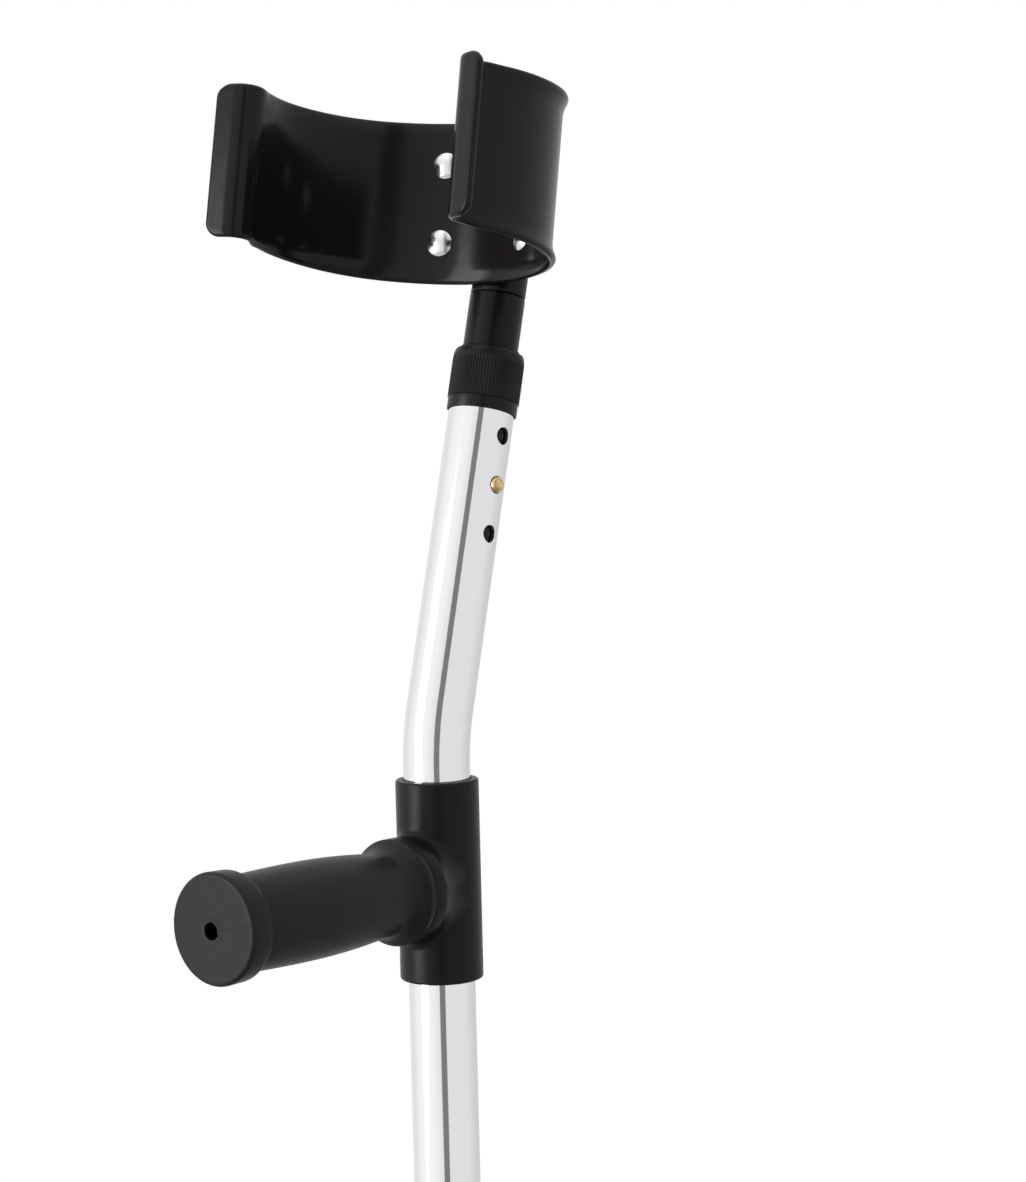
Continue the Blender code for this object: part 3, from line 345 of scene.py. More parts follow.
def drilled_tube(axis, length, outer, bore, holes, extra_rows=()):
    """A tube along axis(along) with holes; each is (along, quarter turns from +X, radius)."""
    across, between, bevel = 8, 5, 0.0002
    half = asin(PATCH / outer)
    squares = spaced(-PATCH, PATCH, across)
    angles = []
    for middle in (0, pi / 2, pi, 1.5 * pi):
        angles += [middle + asin(aside / outer) for aside in squares]
        angles += spaced(middle + half, middle + pi / 2 - half, between)[1:-1]
    rows = {round(place, 6) for place in extra_rows}
    for along, _, _ in holes:
        rows |= {round(along + aside, 6) for aside in squares}
    rows = sorted(rows)
    skin = Skin()

    def patches(radius, grow, table):
        listed = []
        for along, quarter, hole in holes:
            first = table.index(round(along - PATCH, 6))

            def outline(share, along=along, quarter=quarter, hole=hole + grow):
                turn = opening_turn(share)
                return along + hole * sin(turn), quarter * pi / 2 + asin(hole * cos(turn) / radius)

            listed.append((first, quarter * (across + between), across, across, outline))
        return listed

    def on(radius):
        def at(along, angle):
            frame_here = axis(along)
            way = frame_here.to_3x3() @ Vector((cos(angle), sin(angle), 0))
            return frame_here.translation + way * radius, way
        return at

    outer_rows = [bevel] + rows + [length - bevel]
    inner_rows = [0.0] + rows + [length]
    outside, outer_openings = skin.wrap(on(outer), outer_rows, angles,
                                        patches(outer, bevel, outer_rows))
    inside, inner_openings = skin.wrap(on(bore), inner_rows, angles,
                                       patches(bore, 0, inner_rows), inward=True)
    bottom = [skin.corner(on(outer - bevel)(0, angle)[0]) for angle in angles]
    top = [skin.corner(on(outer - bevel)(length, angle)[0]) for angle in angles]
    skin.belts([outside[-1], top, inside[-1]])
    skin.belts([inside[0], bottom, outside[0]])
    for (along, quarter, hole), outer_ring, inner_ring in zip(holes, outer_openings,
                                                              inner_openings):
        wall = []
        for k in range(len(outer_ring)):
            turn = opening_turn(k / len(outer_ring))
            angle = quarter * pi / 2 + asin(hole * cos(turn) / (outer - bevel))
            wall.append(skin.corner(on(outer - bevel)(along + hole * sin(turn), angle)[0]))
        skin.belts([outer_ring, wall, inner_ring])
    return skin.mesh()


def add_piece(name, mesh, body, finish, stands_for, place=None):
    """A piece of the crutch that rides on a body and stands for a CAD node."""
    piece = add_object(name, mesh)
    if place is not None:
        piece.matrix_world = place
    mesh.name = name
    mesh.materials.append(finish)
    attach(piece, body)
    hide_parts(stands_for)


def clouds(tree, position, scale, detail):
    """Soft uneven patches, as values round a half."""
    return shader_node(tree, "ShaderNodeTexNoise", {"Vector": position, "Scale": scale,
                                                    "Detail": detail}).outputs["Fac"]


def effect(name, values, results):
    """An empty shader node group: it takes a position and values, and gives results."""
    group = bpy.data.node_groups.new(name, "ShaderNodeTree")
    group.interface.new_socket(name="Position", in_out="INPUT", socket_type="NodeSocketVector")
    for label, value in values.items():
        group.interface.new_socket(name=label, in_out="INPUT",
                                   socket_type="NodeSocketFloat").default_value = value
    for label in results:
        group.interface.new_socket(name=label, in_out="OUTPUT", socket_type="NodeSocketFloat")
    return (group, group.nodes.new("NodeGroupInput").outputs,
            group.nodes.new("NodeGroupOutput").inputs)


# Fine grain: the small unevenness of a moulded, brushed or coated skin
grain, given, result = effect("fine_grain", {"Scale": 900.0, "Low": 0.3, "High": 0.4},
                              ("Roughness", "Height"))
grain_noise = shader_node(grain, "ShaderNodeTexNoise",
                          {"Vector": given["Position"], "Scale": given["Scale"], "Detail": 4.0,
                           "Roughness": 0.55}).outputs["Fac"]
grain.links.new(ramp(grain, grain_noise, 0.35, 0.65, given["Low"], given["High"]),
                result["Roughness"])
grain.links.new(grain_noise, result["Height"])

# Handling marks: sparse short scratches that lie mostly along the piece
marks, given, result = effect("handling_marks", {"Scale": 60.0, "Amount": 0.5}, ("Mask",))
marks_line = shader_node(marks, "ShaderNodeTexNoise",
                         {"Vector": vector_sum(marks, "MULTIPLY", given["Position"], (9, 9, 1)),
                          "Scale": given["Scale"], "Detail": 2.0, "Distortion": 0.6})
marks_thin = ramp(marks, marks_line.outputs["Fac"], 0.66, 0.74)
marks_area = ramp(marks, clouds(marks, given["Position"], 22.0, 3.0), 0.5, 0.68)
marks_all = sum_of(marks, "MULTIPLY", marks_thin, marks_area)
marks.links.new(sum_of(marks, "MULTIPLY", marks_all, given["Amount"]), result["Mask"])


def new_finish(name, colour, roughness, metallic=0.0, specular=0.5):
    """A material with one Principled shader; returns it with its tree, shader and place."""
    finish = bpy.data.materials.new(name)
    finish.use_nodes = True
    tree = finish.node_tree
    shader = tree.nodes["Principled BSDF"]
    for socket, value in (("Base Color", (*colour, 1)), ("Roughness", roughness),
                          ("Metallic", metallic), ("Specular IOR Level", specular)):
        shader.inputs[socket].default_value = value
    position = shader_node(tree, "ShaderNodeTexCoord").outputs["Object"]
    return finish, tree, shader, position


def add_colour(tree, shader, share, colour):
    """Another colour, by this share, over the colour that the shader has so far."""
    base = shader.inputs["Base Color"]
    under = base.links[0].from_socket if base.is_linked else tuple(base.default_value)
    tree.links.new(mixed(tree, share, under, (*colour, 1), "RGBA"), base)


def add_bump(tree, shader, height, distance, strength=1.0):
    """A bump over the one that the shader has so far, if it has one."""
    normal = shader.inputs["Normal"]
    bump = shader_node(tree, "ShaderNodeBump", {"Height": height, "Distance": distance,
                                                "Strength": strength})
    if normal.is_linked:
        tree.links.new(normal.links[0].from_socket, bump.inputs["Normal"])
    tree.links.new(bump.outputs["Normal"], normal)


def add_marks(tree, position, scale, amount):
    """The mask of the handling marks on a piece."""
    return shader_node(tree, "ShaderNodeGroup",
                       {"Position": position, "Scale": scale, "Amount": amount},
                       node_tree=marks).outputs["Mask"]


def add_grain(tree, shader, position, scale, low, high, depth=0.0, mask=None, share=0.0):
    """Grain in the shader's roughness, rougher by a share of the mask, and in its bump."""
    fine = shader_node(tree, "ShaderNodeGroup",
                       {"Position": position, "Scale": scale, "Low": low, "High": high},
                       node_tree=grain)
    roughness = fine.outputs["Roughness"]
    if mask is not None:
        roughness = sum_of(tree, "ADD", roughness, sum_of(tree, "MULTIPLY", mask, share))
    tree.links.new(roughness, shader.inputs["Roughness"])
    if depth:
        add_bump(tree, shader, fine.outputs["Height"], depth)


bright_tube, tree, shader, position = new_finish("bright_aluminium", (0.865, 0.86, 0.88), 0.05,
                                                 1.0)
drawn_place = vector_sum(tree, "MULTIPLY", position, (1, 1, 0.012))
scuffs = add_marks(tree, position, 55.0, 0.8)
add_grain(tree, shader, drawn_place, 1400.0, 0.035, 0.075, 0.000004, scuffs, 0.25)
add_colour(tree, shader, scuffs, (0.62, 0.62, 0.63))

arm_hole = lower_length + bend_length - bend_reach + ARM_BUTTON
button_rows = [LEG_BUTTON + step * LEG_PITCH - MAIN_BOTTOM for step in range(-3, 4)]
button_rows += [arm_hole + step * ARM_PITCH for step in range(-1, 2)]
tube_holes = [(along, quarter, HOLE_RADIUS) for along in button_rows for quarter in (0, 2)]
tube_holes += [(HANDLE_HEIGHT - MAIN_BOTTOM, quarter, BOLT_HOLE_RADIUS) for quarter in (1, 3)]
add_piece("bent_tube", drilled_tube(main_axis, tube_length, MAIN_RADIUS, MAIN_BORE, tube_holes,
                                    spaced(lower_length, lower_length + bend_length, 16)),
          "frame", bright_tube, "main_tube")


# Tee sleeve: a satin black nylon moulding over the tube. A boss as wide as the grip's flange
# grows out of it in a soft hollow, and a spotface at its back seats the bolt's washer.
TEE_RADIUS = 0.01585
TEE_BORE = 0.0130
TEE_LOW, TEE_HIGH = HANDLE_HEIGHT - 0.0362, HANDLE_HEIGHT + 0.0401
TEE_EDGE = 0.0010
TILT = radians(1.2)              # the handle rises this much outwards
BOSS_RADIUS = 0.0200
BOSS_FACE = 0.0248
BOSS_BACK = 0.0192
BOSS_EDGE, BORE_EDGE = 0.0003, 0.0003
HOLLOW_LEVEL, HOLLOW_UPRIGHT = 0.01552, 0.0236   # how far out the hollow starts
FRONT_HALF, SPOT_HALF = 0.029, 0.0100            # half heights of the mesh round both openings
SOCKET_RADIUS = 0.009825
SOCKET_FLOOR = 0.0147
SPOTFACE = 0.0145
SPOTFACE_RADIUS = 0.00635
HANDLE = raised(HANDLE_HEIGHT, pi / 2 - TILT)


def on_sleeve(radius, turn):
    """Where the sleeve's skin lies at this radius and turn about the handle's axis."""
    side = radius * cos(turn)
    reach = (sqrt(TEE_RADIUS ** 2 - side ** 2) + radius * sin(turn) * sin(TILT)) / cos(TILT)
    return HANDLE @ Vector((side, radius * sin(turn), reach)), reach


def hollow_foot(turn):
    """The radius about the handle's axis at which the boss's hollow meets the sleeve."""
    upward = abs(sin(turn)) ** 1.7
    return HOLLOW_LEVEL + (HOLLOW_UPRIGHT - HOLLOW_LEVEL) * upward


def hollow(turn, steps):
    """The hollow from its foot to the back edge of the boss, as (radius, reach) pairs."""
    upward = sin(turn) ** 2
    foot = hollow_foot(turn)
    reach = on_sleeve(foot, turn)[1]
    slope = Vector((-1, foot * cos(turn) ** 2 / reach)).normalized()
    end = Vector((BOSS_RADIUS, BOSS_BACK))
    leave = Vector((-0.75, -0.66)).lerp(Vector((0, -1)), upward).normalized()
    control = (Vector((foot, reach)), Vector((foot, reach)) + slope * (0.007 - 0.0048 * upward),
               end + leave * (0.003 - 0.0014 * upward), end)
    points = []
    for t in spaced(0, 1, steps)[1:]:
        weights = ((1 - t) ** 3, 3 * t * (1 - t) ** 2, 3 * t * t * (1 - t), t ** 3)
        points.append(sum((c * w for c, w in zip(control, weights)), Vector((0, 0)))[:])
    return points


tee = Skin()
front_cells, back_cells, flank_cells, tall_cells = 20, 8, 7, 20
front_half, back_half = radians(98), radians(38)
front_rows = spaced(HANDLE_HEIGHT - FRONT_HALF, HANDLE_HEIGHT + FRONT_HALF, tall_cells)
tee_angles = spaced(-pi / 2 - front_half, -pi / 2 + front_half, front_cells)
tee_angles += spaced(-pi / 2 + front_half, pi / 2 - back_half, flank_cells)[1:-1]
tee_angles += spaced(pi / 2 - back_half, pi / 2 + back_half, back_cells)
tee_angles += spaced(pi / 2 + back_half, 1.5 * pi - front_half, flank_cells)[1:-1]
spot_first = min(range(tall_cells + 1),
                 key=lambda k: abs(front_rows[k] - HANDLE_HEIGHT + SPOT_HALF))
spot_tall = tall_cells - 2 * spot_first
tee_rows = (spaced(TEE_LOW + TEE_EDGE, front_rows[0], 2)[:-1] + front_rows
            + spaced(front_rows[-1], TEE_HIGH - TEE_EDGE, 2)[1:])


def sleeve_side(height, angle):
    way = Vector((cos(angle), sin(angle), 0))
    return Vector((0, 0, height)) + way * TEE_RADIUS, way


def boss_outline(share):
    turn = opening_turn(share)
    place = on_sleeve(hollow_foot(turn), turn)[0]
    return place.z, atan2(place.y, place.x)


def spotface_outline(share):
    turn = opening_turn(share)
    return (HANDLE_HEIGHT + SPOTFACE_RADIUS * sin(turn),
            pi / 2 + asin(SPOTFACE_RADIUS * cos(turn) / TEE_RADIUS))


tee_grid, (boss_foot, spot_rim) = tee.wrap(
    sleeve_side, tee_rows, tee_angles,
    [(2, 0, tall_cells, front_cells, boss_outline),
     (2 + spot_first, front_cells + flank_cells, spot_tall, back_cells, spotface_outline)])


def round_ring(radius, height):
    return [tee.corner((radius * cos(angle), radius * sin(angle), height)) for angle in tee_angles]


def boss_corner(turn, radius, reach):
    return tee.corner(HANDLE @ Vector((radius * cos(turn), radius * sin(turn), reach)))


edge_arc = [(TEE_EDGE * (1 - cos(radians(a))), TEE_EDGE * (1 - sin(radians(a))))
            for a in (22, 45, 68, 90)]
rim = [round_ring(TEE_RADIUS - cut, TEE_HIGH - drop) for cut, drop in edge_arc]
rim += [round_ring(TEE_BORE + BORE_EDGE, TEE_HIGH), round_ring(TEE_BORE, TEE_HIGH - BORE_EDGE),
        round_ring(TEE_BORE, TEE_LOW + BORE_EDGE), round_ring(TEE_BORE + BORE_EDGE, TEE_LOW)]
rim += [round_ring(TEE_RADIUS - cut, TEE_LOW + drop) for cut, drop in reversed(edge_arc)]
tee.belts([tee_grid[-1]] + rim + [tee_grid[0]])

boss_turns = [opening_turn(k / len(boss_foot)) for k in range(len(boss_foot))]
hollow_lines = zip(*(hollow(turn, 14) for turn in boss_turns))
boss_rings = [boss_foot] + [[boss_corner(turn, *point) for turn, point in zip(boss_turns, row)]
                            for row in hollow_lines]
for radius, reach in ((BOSS_RADIUS + 0.00002, BOSS_BACK + 0.0002),
                      (BOSS_RADIUS + 0.00002, BOSS_FACE - BOSS_EDGE),
                      (BOSS_RADIUS - BOSS_EDGE * 0.3, BOSS_FACE - BOSS_EDGE * 0.3),
                      (BOSS_RADIUS - BOSS_EDGE, BOSS_FACE), (SOCKET_RADIUS, BOSS_FACE),
                      (SOCKET_RADIUS, SOCKET_FLOOR), (BOLT_HOLE_RADIUS, SOCKET_FLOOR)):
    boss_rings.append([boss_corner(turn, radius, reach) for turn in boss_turns])
tee.belts(boss_rings)
tee.face(boss_rings[-1])

spot_turns = [opening_turn(k / len(spot_rim)) for k in range(len(spot_rim))]
spot_rings = [spot_rim]
for radius in (SPOTFACE_RADIUS, 0.0045, BOLT_HOLE_RADIUS):
    spot_rings.append([tee.corner((-radius * cos(turn), SPOTFACE,
                                   HANDLE_HEIGHT + radius * sin(turn))) for turn in spot_turns])
tee.belts(spot_rings)
tee.face(spot_rings[-1])

nylon, tree, shader, position = new_finish("black_nylon", (0.0096, 0.0080, 0.0090), 0.33,
                                           specular=0.16)
rubs = add_marks(tree, position, 45.0, 0.6)
add_grain(tree, shader, position, 1500.0, 0.29, 0.37, 0.000015, rubs, 0.12)
add_colour(tree, shader, rubs, (0.015, 0.0142, 0.015))
add_piece("handle_sleeve", tee.mesh(radians(32)), "frame", nylon, "tee_sleeve")


# Handle core: an aluminium tube in the boss and the grip, a threaded steel plug in its end,
# and an M6 button-head bolt with a washer from the back of the sleeve that draws it all tight.
def turned_mesh(profile, steps=96, sharp=radians(38), relief=None):
    """A profile of (radius, height) points turned about Z, closed unless it ends on the axis.

    relief(index, angle) gives what a point's radius grows by.
    """
    shape = bmesh.new()
    rows = []
    for index, (radius, height) in enumerate(profile):
        if radius < 1e-7:
            rows.append([shape.verts.new((0, 0, height))] * steps)
            continue
        row = []
        for k in range(steps):
            angle = 2 * pi * k / steps
            here = radius + (relief(index, angle) if relief else 0)
            row.append(shape.verts.new((here * cos(angle), here * sin(angle), height)))
        rows.append(row)
    pairs = list(zip(rows, rows[1:]))
    if profile[0][0] > 1e-7:
        pairs.append((rows[-1], rows[0]))
    for lower, upper in pairs:
        for k in range(steps):
            after = (k + 1) % steps
            corners = []
            for corner in (lower[k], lower[after], upper[after], upper[k]):
                if corner not in corners:
                    corners.append(corner)
            if len(corners) > 2:
                shape.faces.new(corners)
    bmesh.ops.recalc_face_normals(shape, faces=shape.faces)
    mesh = mesh_of(shape)
    mesh.shade_smooth()
    mesh.set_sharp_from_angle(angle=sharp)
    return mesh


def rounded(corners, steps=5):
    """The profile through (radius, height, rounding) corners, each with its rounding."""
    points = []
    for k, (radius, height, size) in enumerate(corners):
        here = Vector((radius, height))
        if size == 0:
            points.append((radius, height))
            continue
        before = (Vector(corners[k - 1][:2]) - here).normalized()
        after = (Vector(corners[(k + 1) % len(corners)][:2]) - here).normalized()
        half = before.angle(after) / 2
        centre = here + (before + after).normalized() * (size / sin(half))
        first = (here + before * (size / tan(half)) - centre).normalized()
        last = (here + after * (size / tan(half)) - centre).normalized()
        points += [tuple(centre + first.slerp(last, share) * size)
                   for share in spaced(0, 1, steps)]
    return points


def dress(finish, slot, *names):
    """A better finish for CAD nodes that keep their own shape."""
    for name in names:
        nodes[name].data.materials.clear()
        nodes[name].data.materials.append(finish)


def washer_profile(bore, radius, low, high, edge):
    """A washer's section, with its outer edges rounded."""
    return rounded([(bore, low, 0.0001), (radius, low, edge), (radius, high, edge),
                    (bore, high, 0.0001)], 3)


zinc, tree, shader, position = new_finish("zinc_plated_steel", (0.62, 0.63, 0.65), 0.3, 1.0)
add_grain(tree, shader, position, 500.0, 0.22, 0.36, 0.00001)
dress(bright_tube, "bright_aluminium", "handle_core")
dress(zinc, "zinc_plated_steel", "core_plug", "ferrule_washer")

WASHER_SEAT, WASHER_RADIUS, WASHER_THICKNESS = -0.0148, 0.0060, 0.0011
HEAD_SEAT = -0.0162
HEAD_HEIGHT, HEAD_RADIUS = 0.0033, 0.00525
washer = washer_profile(BOLT_HOLE_RADIUS, WASHER_RADIUS, WASHER_SEAT,
                        WASHER_SEAT - WASHER_THICKNESS, 0.00025)
add_piece("bolt_washer", turned_mesh(washer, 48), "frame", zinc,
          "handle_washer", HANDLE)


def dome(radius, height, steps):
    """A shallow dome from its middle to its rim, as (radius, depth under the top) pairs."""
    sphere = (radius ** 2 + height ** 2) / (2 * height)
    return [(sphere * sin(angle), sphere * (1 - cos(angle)))
            for angle in spaced(0, asin(radius / sphere), steps)]


def domed_head(radius, height, seat, steps, rim_share=0.25):
    """A button head from its middle to its seat, standing towards -Z."""
    crown = dome(radius, height * (1 - rim_share), steps)
    return [(out, seat - height + depth) for out, depth in crown] + [(radius, seat)]


SOCKET_ACROSS, SOCKET_DEPTH = 0.0040, 0.0017
BOLT_RADIUS, BOLT_END, BOLT_CHAMFER = 0.0030, 0.0340, 0.0006


def bolt_mesh():
    """The bolt with a six-sided socket pressed into its domed head."""
    steps = 48
    crown = domed_head(HEAD_RADIUS, HEAD_HEIGHT, HEAD_SEAT, 14)
    skin = Skin()

    def hexagon(angle):
        turn = (angle + pi / 6) % (pi / 3) - pi / 6
        return SOCKET_ACROSS / 2 / cos(turn)

    angles = [-2 * pi * k / steps for k in range(steps)]
    top = HEAD_SEAT - HEAD_HEIGHT
    rows = [[(hexagon(a), top + SOCKET_DEPTH) for a in angles],
            [(hexagon(a), top + 0.0003) for a in angles],
            [(hexagon(a) + 0.00018, top + 0.00012 + 0.1 * (hexagon(a) - 0.002)) for a in angles]]
    rows += [[point] * steps for point in crown if point[0] > SOCKET_ACROSS / 2 * 1.3]
    rows += [[point] * steps for point in ((BOLT_RADIUS, HEAD_SEAT),
                                           (BOLT_RADIUS, BOLT_END - BOLT_CHAMFER),
                                           (BOLT_RADIUS - BOLT_CHAMFER, BOLT_END))]
    rings = [[skin.corner((radius * cos(a), radius * sin(a), height))
              for a, (radius, height) in zip(angles, row)] for row in rows]
    skin.belts(rings)
    skin.face(rings[0][::-1])
    skin.face(rings[-1])
    return skin.mesh(radians(30))


add_piece("button_head_bolt", bolt_mesh(), "frame", zinc, "handle_bolt",
          HANDLE)


# Hand grip: a matt black moulding pushed over the core. Its barrel swells between a rounded
# inner flange and a flat end flange, a mould line runs round it, and the end has a vent hole.
GRIP_START, GRIP_END = 0.0249, 0.1208
GRIP_FLANGE = 0.0200
GRIP_TIP = GRIP_END - 0.0101
GRIP_COVE = 0.0016
GRIP_ROOT = GRIP_START + 0.0112
GRIP_ROOT_RADIUS, GRIP_BELLY_RADIUS, GRIP_TIP_RADIUS = 0.0157, 0.0179, 0.0170
GRIP_BELLY = 0.075
MOULD_LINE_TURN = radians(10.5)
VENT_RADIUS = 0.0030
VENT_OFFSET, VENT_OFFSET_TURN = 0.0011, radians(218)
GRIP_BORE, GRIP_END_WALL = 0.0098, 0.0062


def barrel_radius(place):
    end, radius = ((GRIP_TIP, GRIP_TIP_RADIUS) if place > GRIP_BELLY
                   else (GRIP_ROOT, GRIP_ROOT_RADIUS))
    share = (place - GRIP_BELLY) / (end - GRIP_BELLY)
    return GRIP_BELLY_RADIUS - (GRIP_BELLY_RADIUS - radius) * share ** 2


grip_line = rounded([(GRIP_BORE, GRIP_START, 0), (GRIP_BORE, GRIP_END - GRIP_END_WALL, 0),
                     (VENT_RADIUS, GRIP_END - GRIP_END_WALL, 0), (VENT_RADIUS, GRIP_END, 0.0003),
                     (0.0060, GRIP_END, 0), (GRIP_FLANGE - 0.0024, GRIP_END, 0),
                     (GRIP_FLANGE, GRIP_END, 0.0015), (GRIP_FLANGE - 0.0003, GRIP_TIP, 0.0015),
                     (GRIP_BELLY_RADIUS, GRIP_TIP, 0)], 6)[:-1]
grip_line += [(GRIP_TIP_RADIUS + GRIP_COVE * (1 - sin(angle)),
               GRIP_TIP - GRIP_COVE * (1 - cos(angle))) for angle in spaced(0, pi / 2, 6)]
grip_line += [(barrel_radius(place), place)
              for place in spaced(GRIP_TIP - GRIP_COVE, GRIP_ROOT, 30)[1:]]
grip_line += [(GRIP_ROOT_RADIUS + (GRIP_FLANGE - GRIP_ROOT_RADIUS) * share ** 2,
               GRIP_ROOT - 0.0082 * share ** 0.8) for share in spaced(0, 1, 14)[1:-1]]
grip_line += rounded([(GRIP_FLANGE - 0.0008, GRIP_START + 0.0034, 0),
                      (GRIP_FLANGE, GRIP_START + 0.0026, 0.0006), (GRIP_FLANGE, GRIP_START, 0.0004),
                      (0.012, GRIP_START, 0)], 5)[:-1]


def vent_edge(index, angle):
    """The torn edge of the vent hole, with a nick low on its right-hand side."""
    radius, place = grip_line[index]
    if radius > VENT_RADIUS * 1.2:
        return 0.0
    turn = angle - VENT_OFFSET_TURN
    shift = (VENT_OFFSET * cos(turn) + sqrt(radius ** 2 - (VENT_OFFSET * sin(turn)) ** 2)
             - radius)
    if place < GRIP_END - 0.0012:
        return shift
    rough = 0.00012 * noise.noise(Vector((3 * cos(angle), 3 * sin(angle), 0.7)))
    nick = 0.0008 * max(0.0, 1 - abs(angle - radians(318)) / radians(13))
    return shift + rough + nick


grip_finish, tree, shader, position = new_finish("grip_polymer", (0.0212, 0.0190, 0.0219), 0.34,
                                                 specular=0.13)
off_line = vector_sum(tree, "DOT_PRODUCT", position,
                      (-sin(MOULD_LINE_TURN), cos(MOULD_LINE_TURN), 0))
off_line = shader_node(tree, "ShaderNodeMath", {0: off_line}, operation="ABSOLUTE").outputs[0]
sideways = shader_node(tree, "ShaderNodeSeparateXYZ", {"Vector": position}).outputs["X"]
mould_line = sum_of(tree, "MULTIPLY", ramp(tree, off_line, 0.00012, 0.00042, 1.0, 0.0),
                    ramp(tree, sideways, -0.006, 0.002))
add_bump(tree, shader, mould_line, 0.00012, 0.45)
add_grain(tree, shader, position, 1100.0, 0.31, 0.39, 0.00003)
add_colour(tree, shader, ramp(tree, clouds(tree, position, 38.0, 3.0), 0.35, 0.7),
           (0.0234, 0.0212, 0.0242))
# Painted shade: inside the vent hole the colour is made darker, standing in for the shade that
# falls in the hole
from_vent = vector_sum(tree, "SUBTRACT", position, (VENT_OFFSET * cos(VENT_OFFSET_TURN),
                                                    VENT_OFFSET * sin(VENT_OFFSET_TURN), 0))
from_vent = vector_sum(tree, "LENGTH", vector_sum(tree, "MULTIPLY", from_vent, (1, 1, 0)))
add_colour(tree, shader, ramp(tree, from_vent, VENT_RADIUS, VENT_RADIUS + 0.0004, 1.0, 0.0),
           (0.0035, 0.0030, 0.0033))
add_piece("moulded_grip", turned_mesh(grip_line, 128, radians(40), vent_edge), "frame",
          grip_finish, "hand_grip", HANDLE)


# Collars: a ribbed black nylon nut screws over each end of the main tube and squeezes a split
# bush onto the inner tube. The nuts turn; the bushes stay on the tube's ends.
RIBS = 72
RIB_DEPTH = 0.00038
NUT_RADIUS, NUT_BAND_RADIUS, NUT_BORE = 0.0139, 0.01355, 0.0130
NUT_OVERLAP, NUT_PROJECTION, NUT_SHOULDER = 0.00825, 0.0156, 0.0052
NUT_MOUTH_RADIUS, NUT_TOP_RADIUS = 0.0119, 0.0128
NUT_BAND_TOP = 0.0046 - NUT_OVERLAP
ribs_top = NUT_PROJECTION - NUT_SHOULDER
# Each point is (radius, height, share of the ribs' depth)
nut_points = [(*point, 0) for point in rounded([(NUT_BORE, -NUT_OVERLAP, 0.0002),
                                                (NUT_BAND_RADIUS, -NUT_OVERLAP, 0.00025),
                                                (NUT_BAND_RADIUS, NUT_BAND_TOP - 0.0002, 0)], 3)]
nut_points += [(NUT_BAND_RADIUS - 0.00018, NUT_BAND_TOP - 0.0001, 0),
               (NUT_BAND_RADIUS - 0.00018, NUT_BAND_TOP + 0.0001, 0),
               (NUT_RADIUS, NUT_BAND_TOP + 0.00025, 0.4), (NUT_RADIUS, NUT_BAND_TOP + 0.0007, 1),
               (NUT_RADIUS, ribs_top, 1)]
nut_points += [(NUT_TOP_RADIUS + (NUT_RADIUS - NUT_TOP_RADIUS) * cos(share * pi / 2),
                ribs_top + NUT_SHOULDER * sin(share * pi / 2), max(0, 1 - 2 * share))
               for share in spaced(0, 1, 10)[1:]]
nut_points += [(NUT_MOUTH_RADIUS + 0.0002, NUT_PROJECTION, 0),
               (NUT_MOUTH_RADIUS, NUT_PROJECTION - 0.0002, 0),
               (NUT_MOUTH_RADIUS, NUT_PROJECTION - 0.0005, 0), (NUT_BORE, 0.0053, 0),
               (NUT_BORE, -NUT_OVERLAP + 0.0003, 0)]


def rib_relief(index, angle):
    wave = 0.5 + 0.5 * cos(RIBS * angle)
    return -RIB_DEPTH * nut_points[index][2] * (1 - wave ** 0.7)


collar_finish, tree, shader, position = new_finish("ribbed_nylon", (0.0100, 0.0083, 0.0093), 0.34,
                                                   specular=0.2)
add_grain(tree, shader, position, 1300.0, 0.28, 0.38, 0.00002,
          add_marks(tree, position, 45.0, 0.5), 0.1)
nut_line = [point[:2] for point in nut_points]
for name, end in (("upper", UPPER @ raised(UPPER_LENGTH)), ("lower", raised(MAIN_BOTTOM, pi))):
    add_piece(name + "_ribbed_nut", turned_mesh(nut_line, RIBS * 6, radians(50), rib_relief),
              name + "_nut", collar_finish, name + "_collar_nut", end)
dress(nylon, "black_nylon", "upper_split_bush", "lower_split_bush")


# Arm stem: satin black anodised aluminium tube that slides in the upper end of the main tube,
# with a cross hole for its buttons and, at the back, a hole for the bracket's pin.
INNER_RADIUS, INNER_BORE = 0.0107, 0.0093
CUTOUT_RADIUS = 0.0038
STEM_BOTTOM = ARM_BUTTON - 0.032
NUT_GAP = 0.00305                # left over the nut when the arm is in its lowest hole
STEM_TOP = UPPER_LENGTH + NUT_PROJECTION + ARM_PITCH + NUT_GAP
FIT = 0.0003                     # the gap between pieces that lie against each other
BAND_FOOT = STEM_TOP + FIT
PIN_RADIUS = 0.0020
PIN_HEIGHT = BAND_FOOT - 0.0115

anodised, tree, shader, position = new_finish("black_anodised", (0.0038, 0.0033, 0.0035), 0.32,
                                              specular=0.2)
add_grain(tree, shader, vector_sum(tree, "MULTIPLY", position, (1, 1, 0.02)), 1800.0, 0.30, 0.34,
          0.000003)
stem_holes = [(ARM_BUTTON - STEM_BOTTOM, quarter, CUTOUT_RADIUS) for quarter in (0, 2)]
stem_holes.append((PIN_HEIGHT - STEM_BOTTOM, 1, PIN_RADIUS + FIT))
add_piece("anodised_stem", drilled_tube(lambda along: UPPER @ raised(STEM_BOTTOM + along),
                                        STEM_TOP - STEM_BOTTOM, INNER_RADIUS, INNER_BORE,
                                        stem_holes),
          "arm", anodised, "arm_stem")


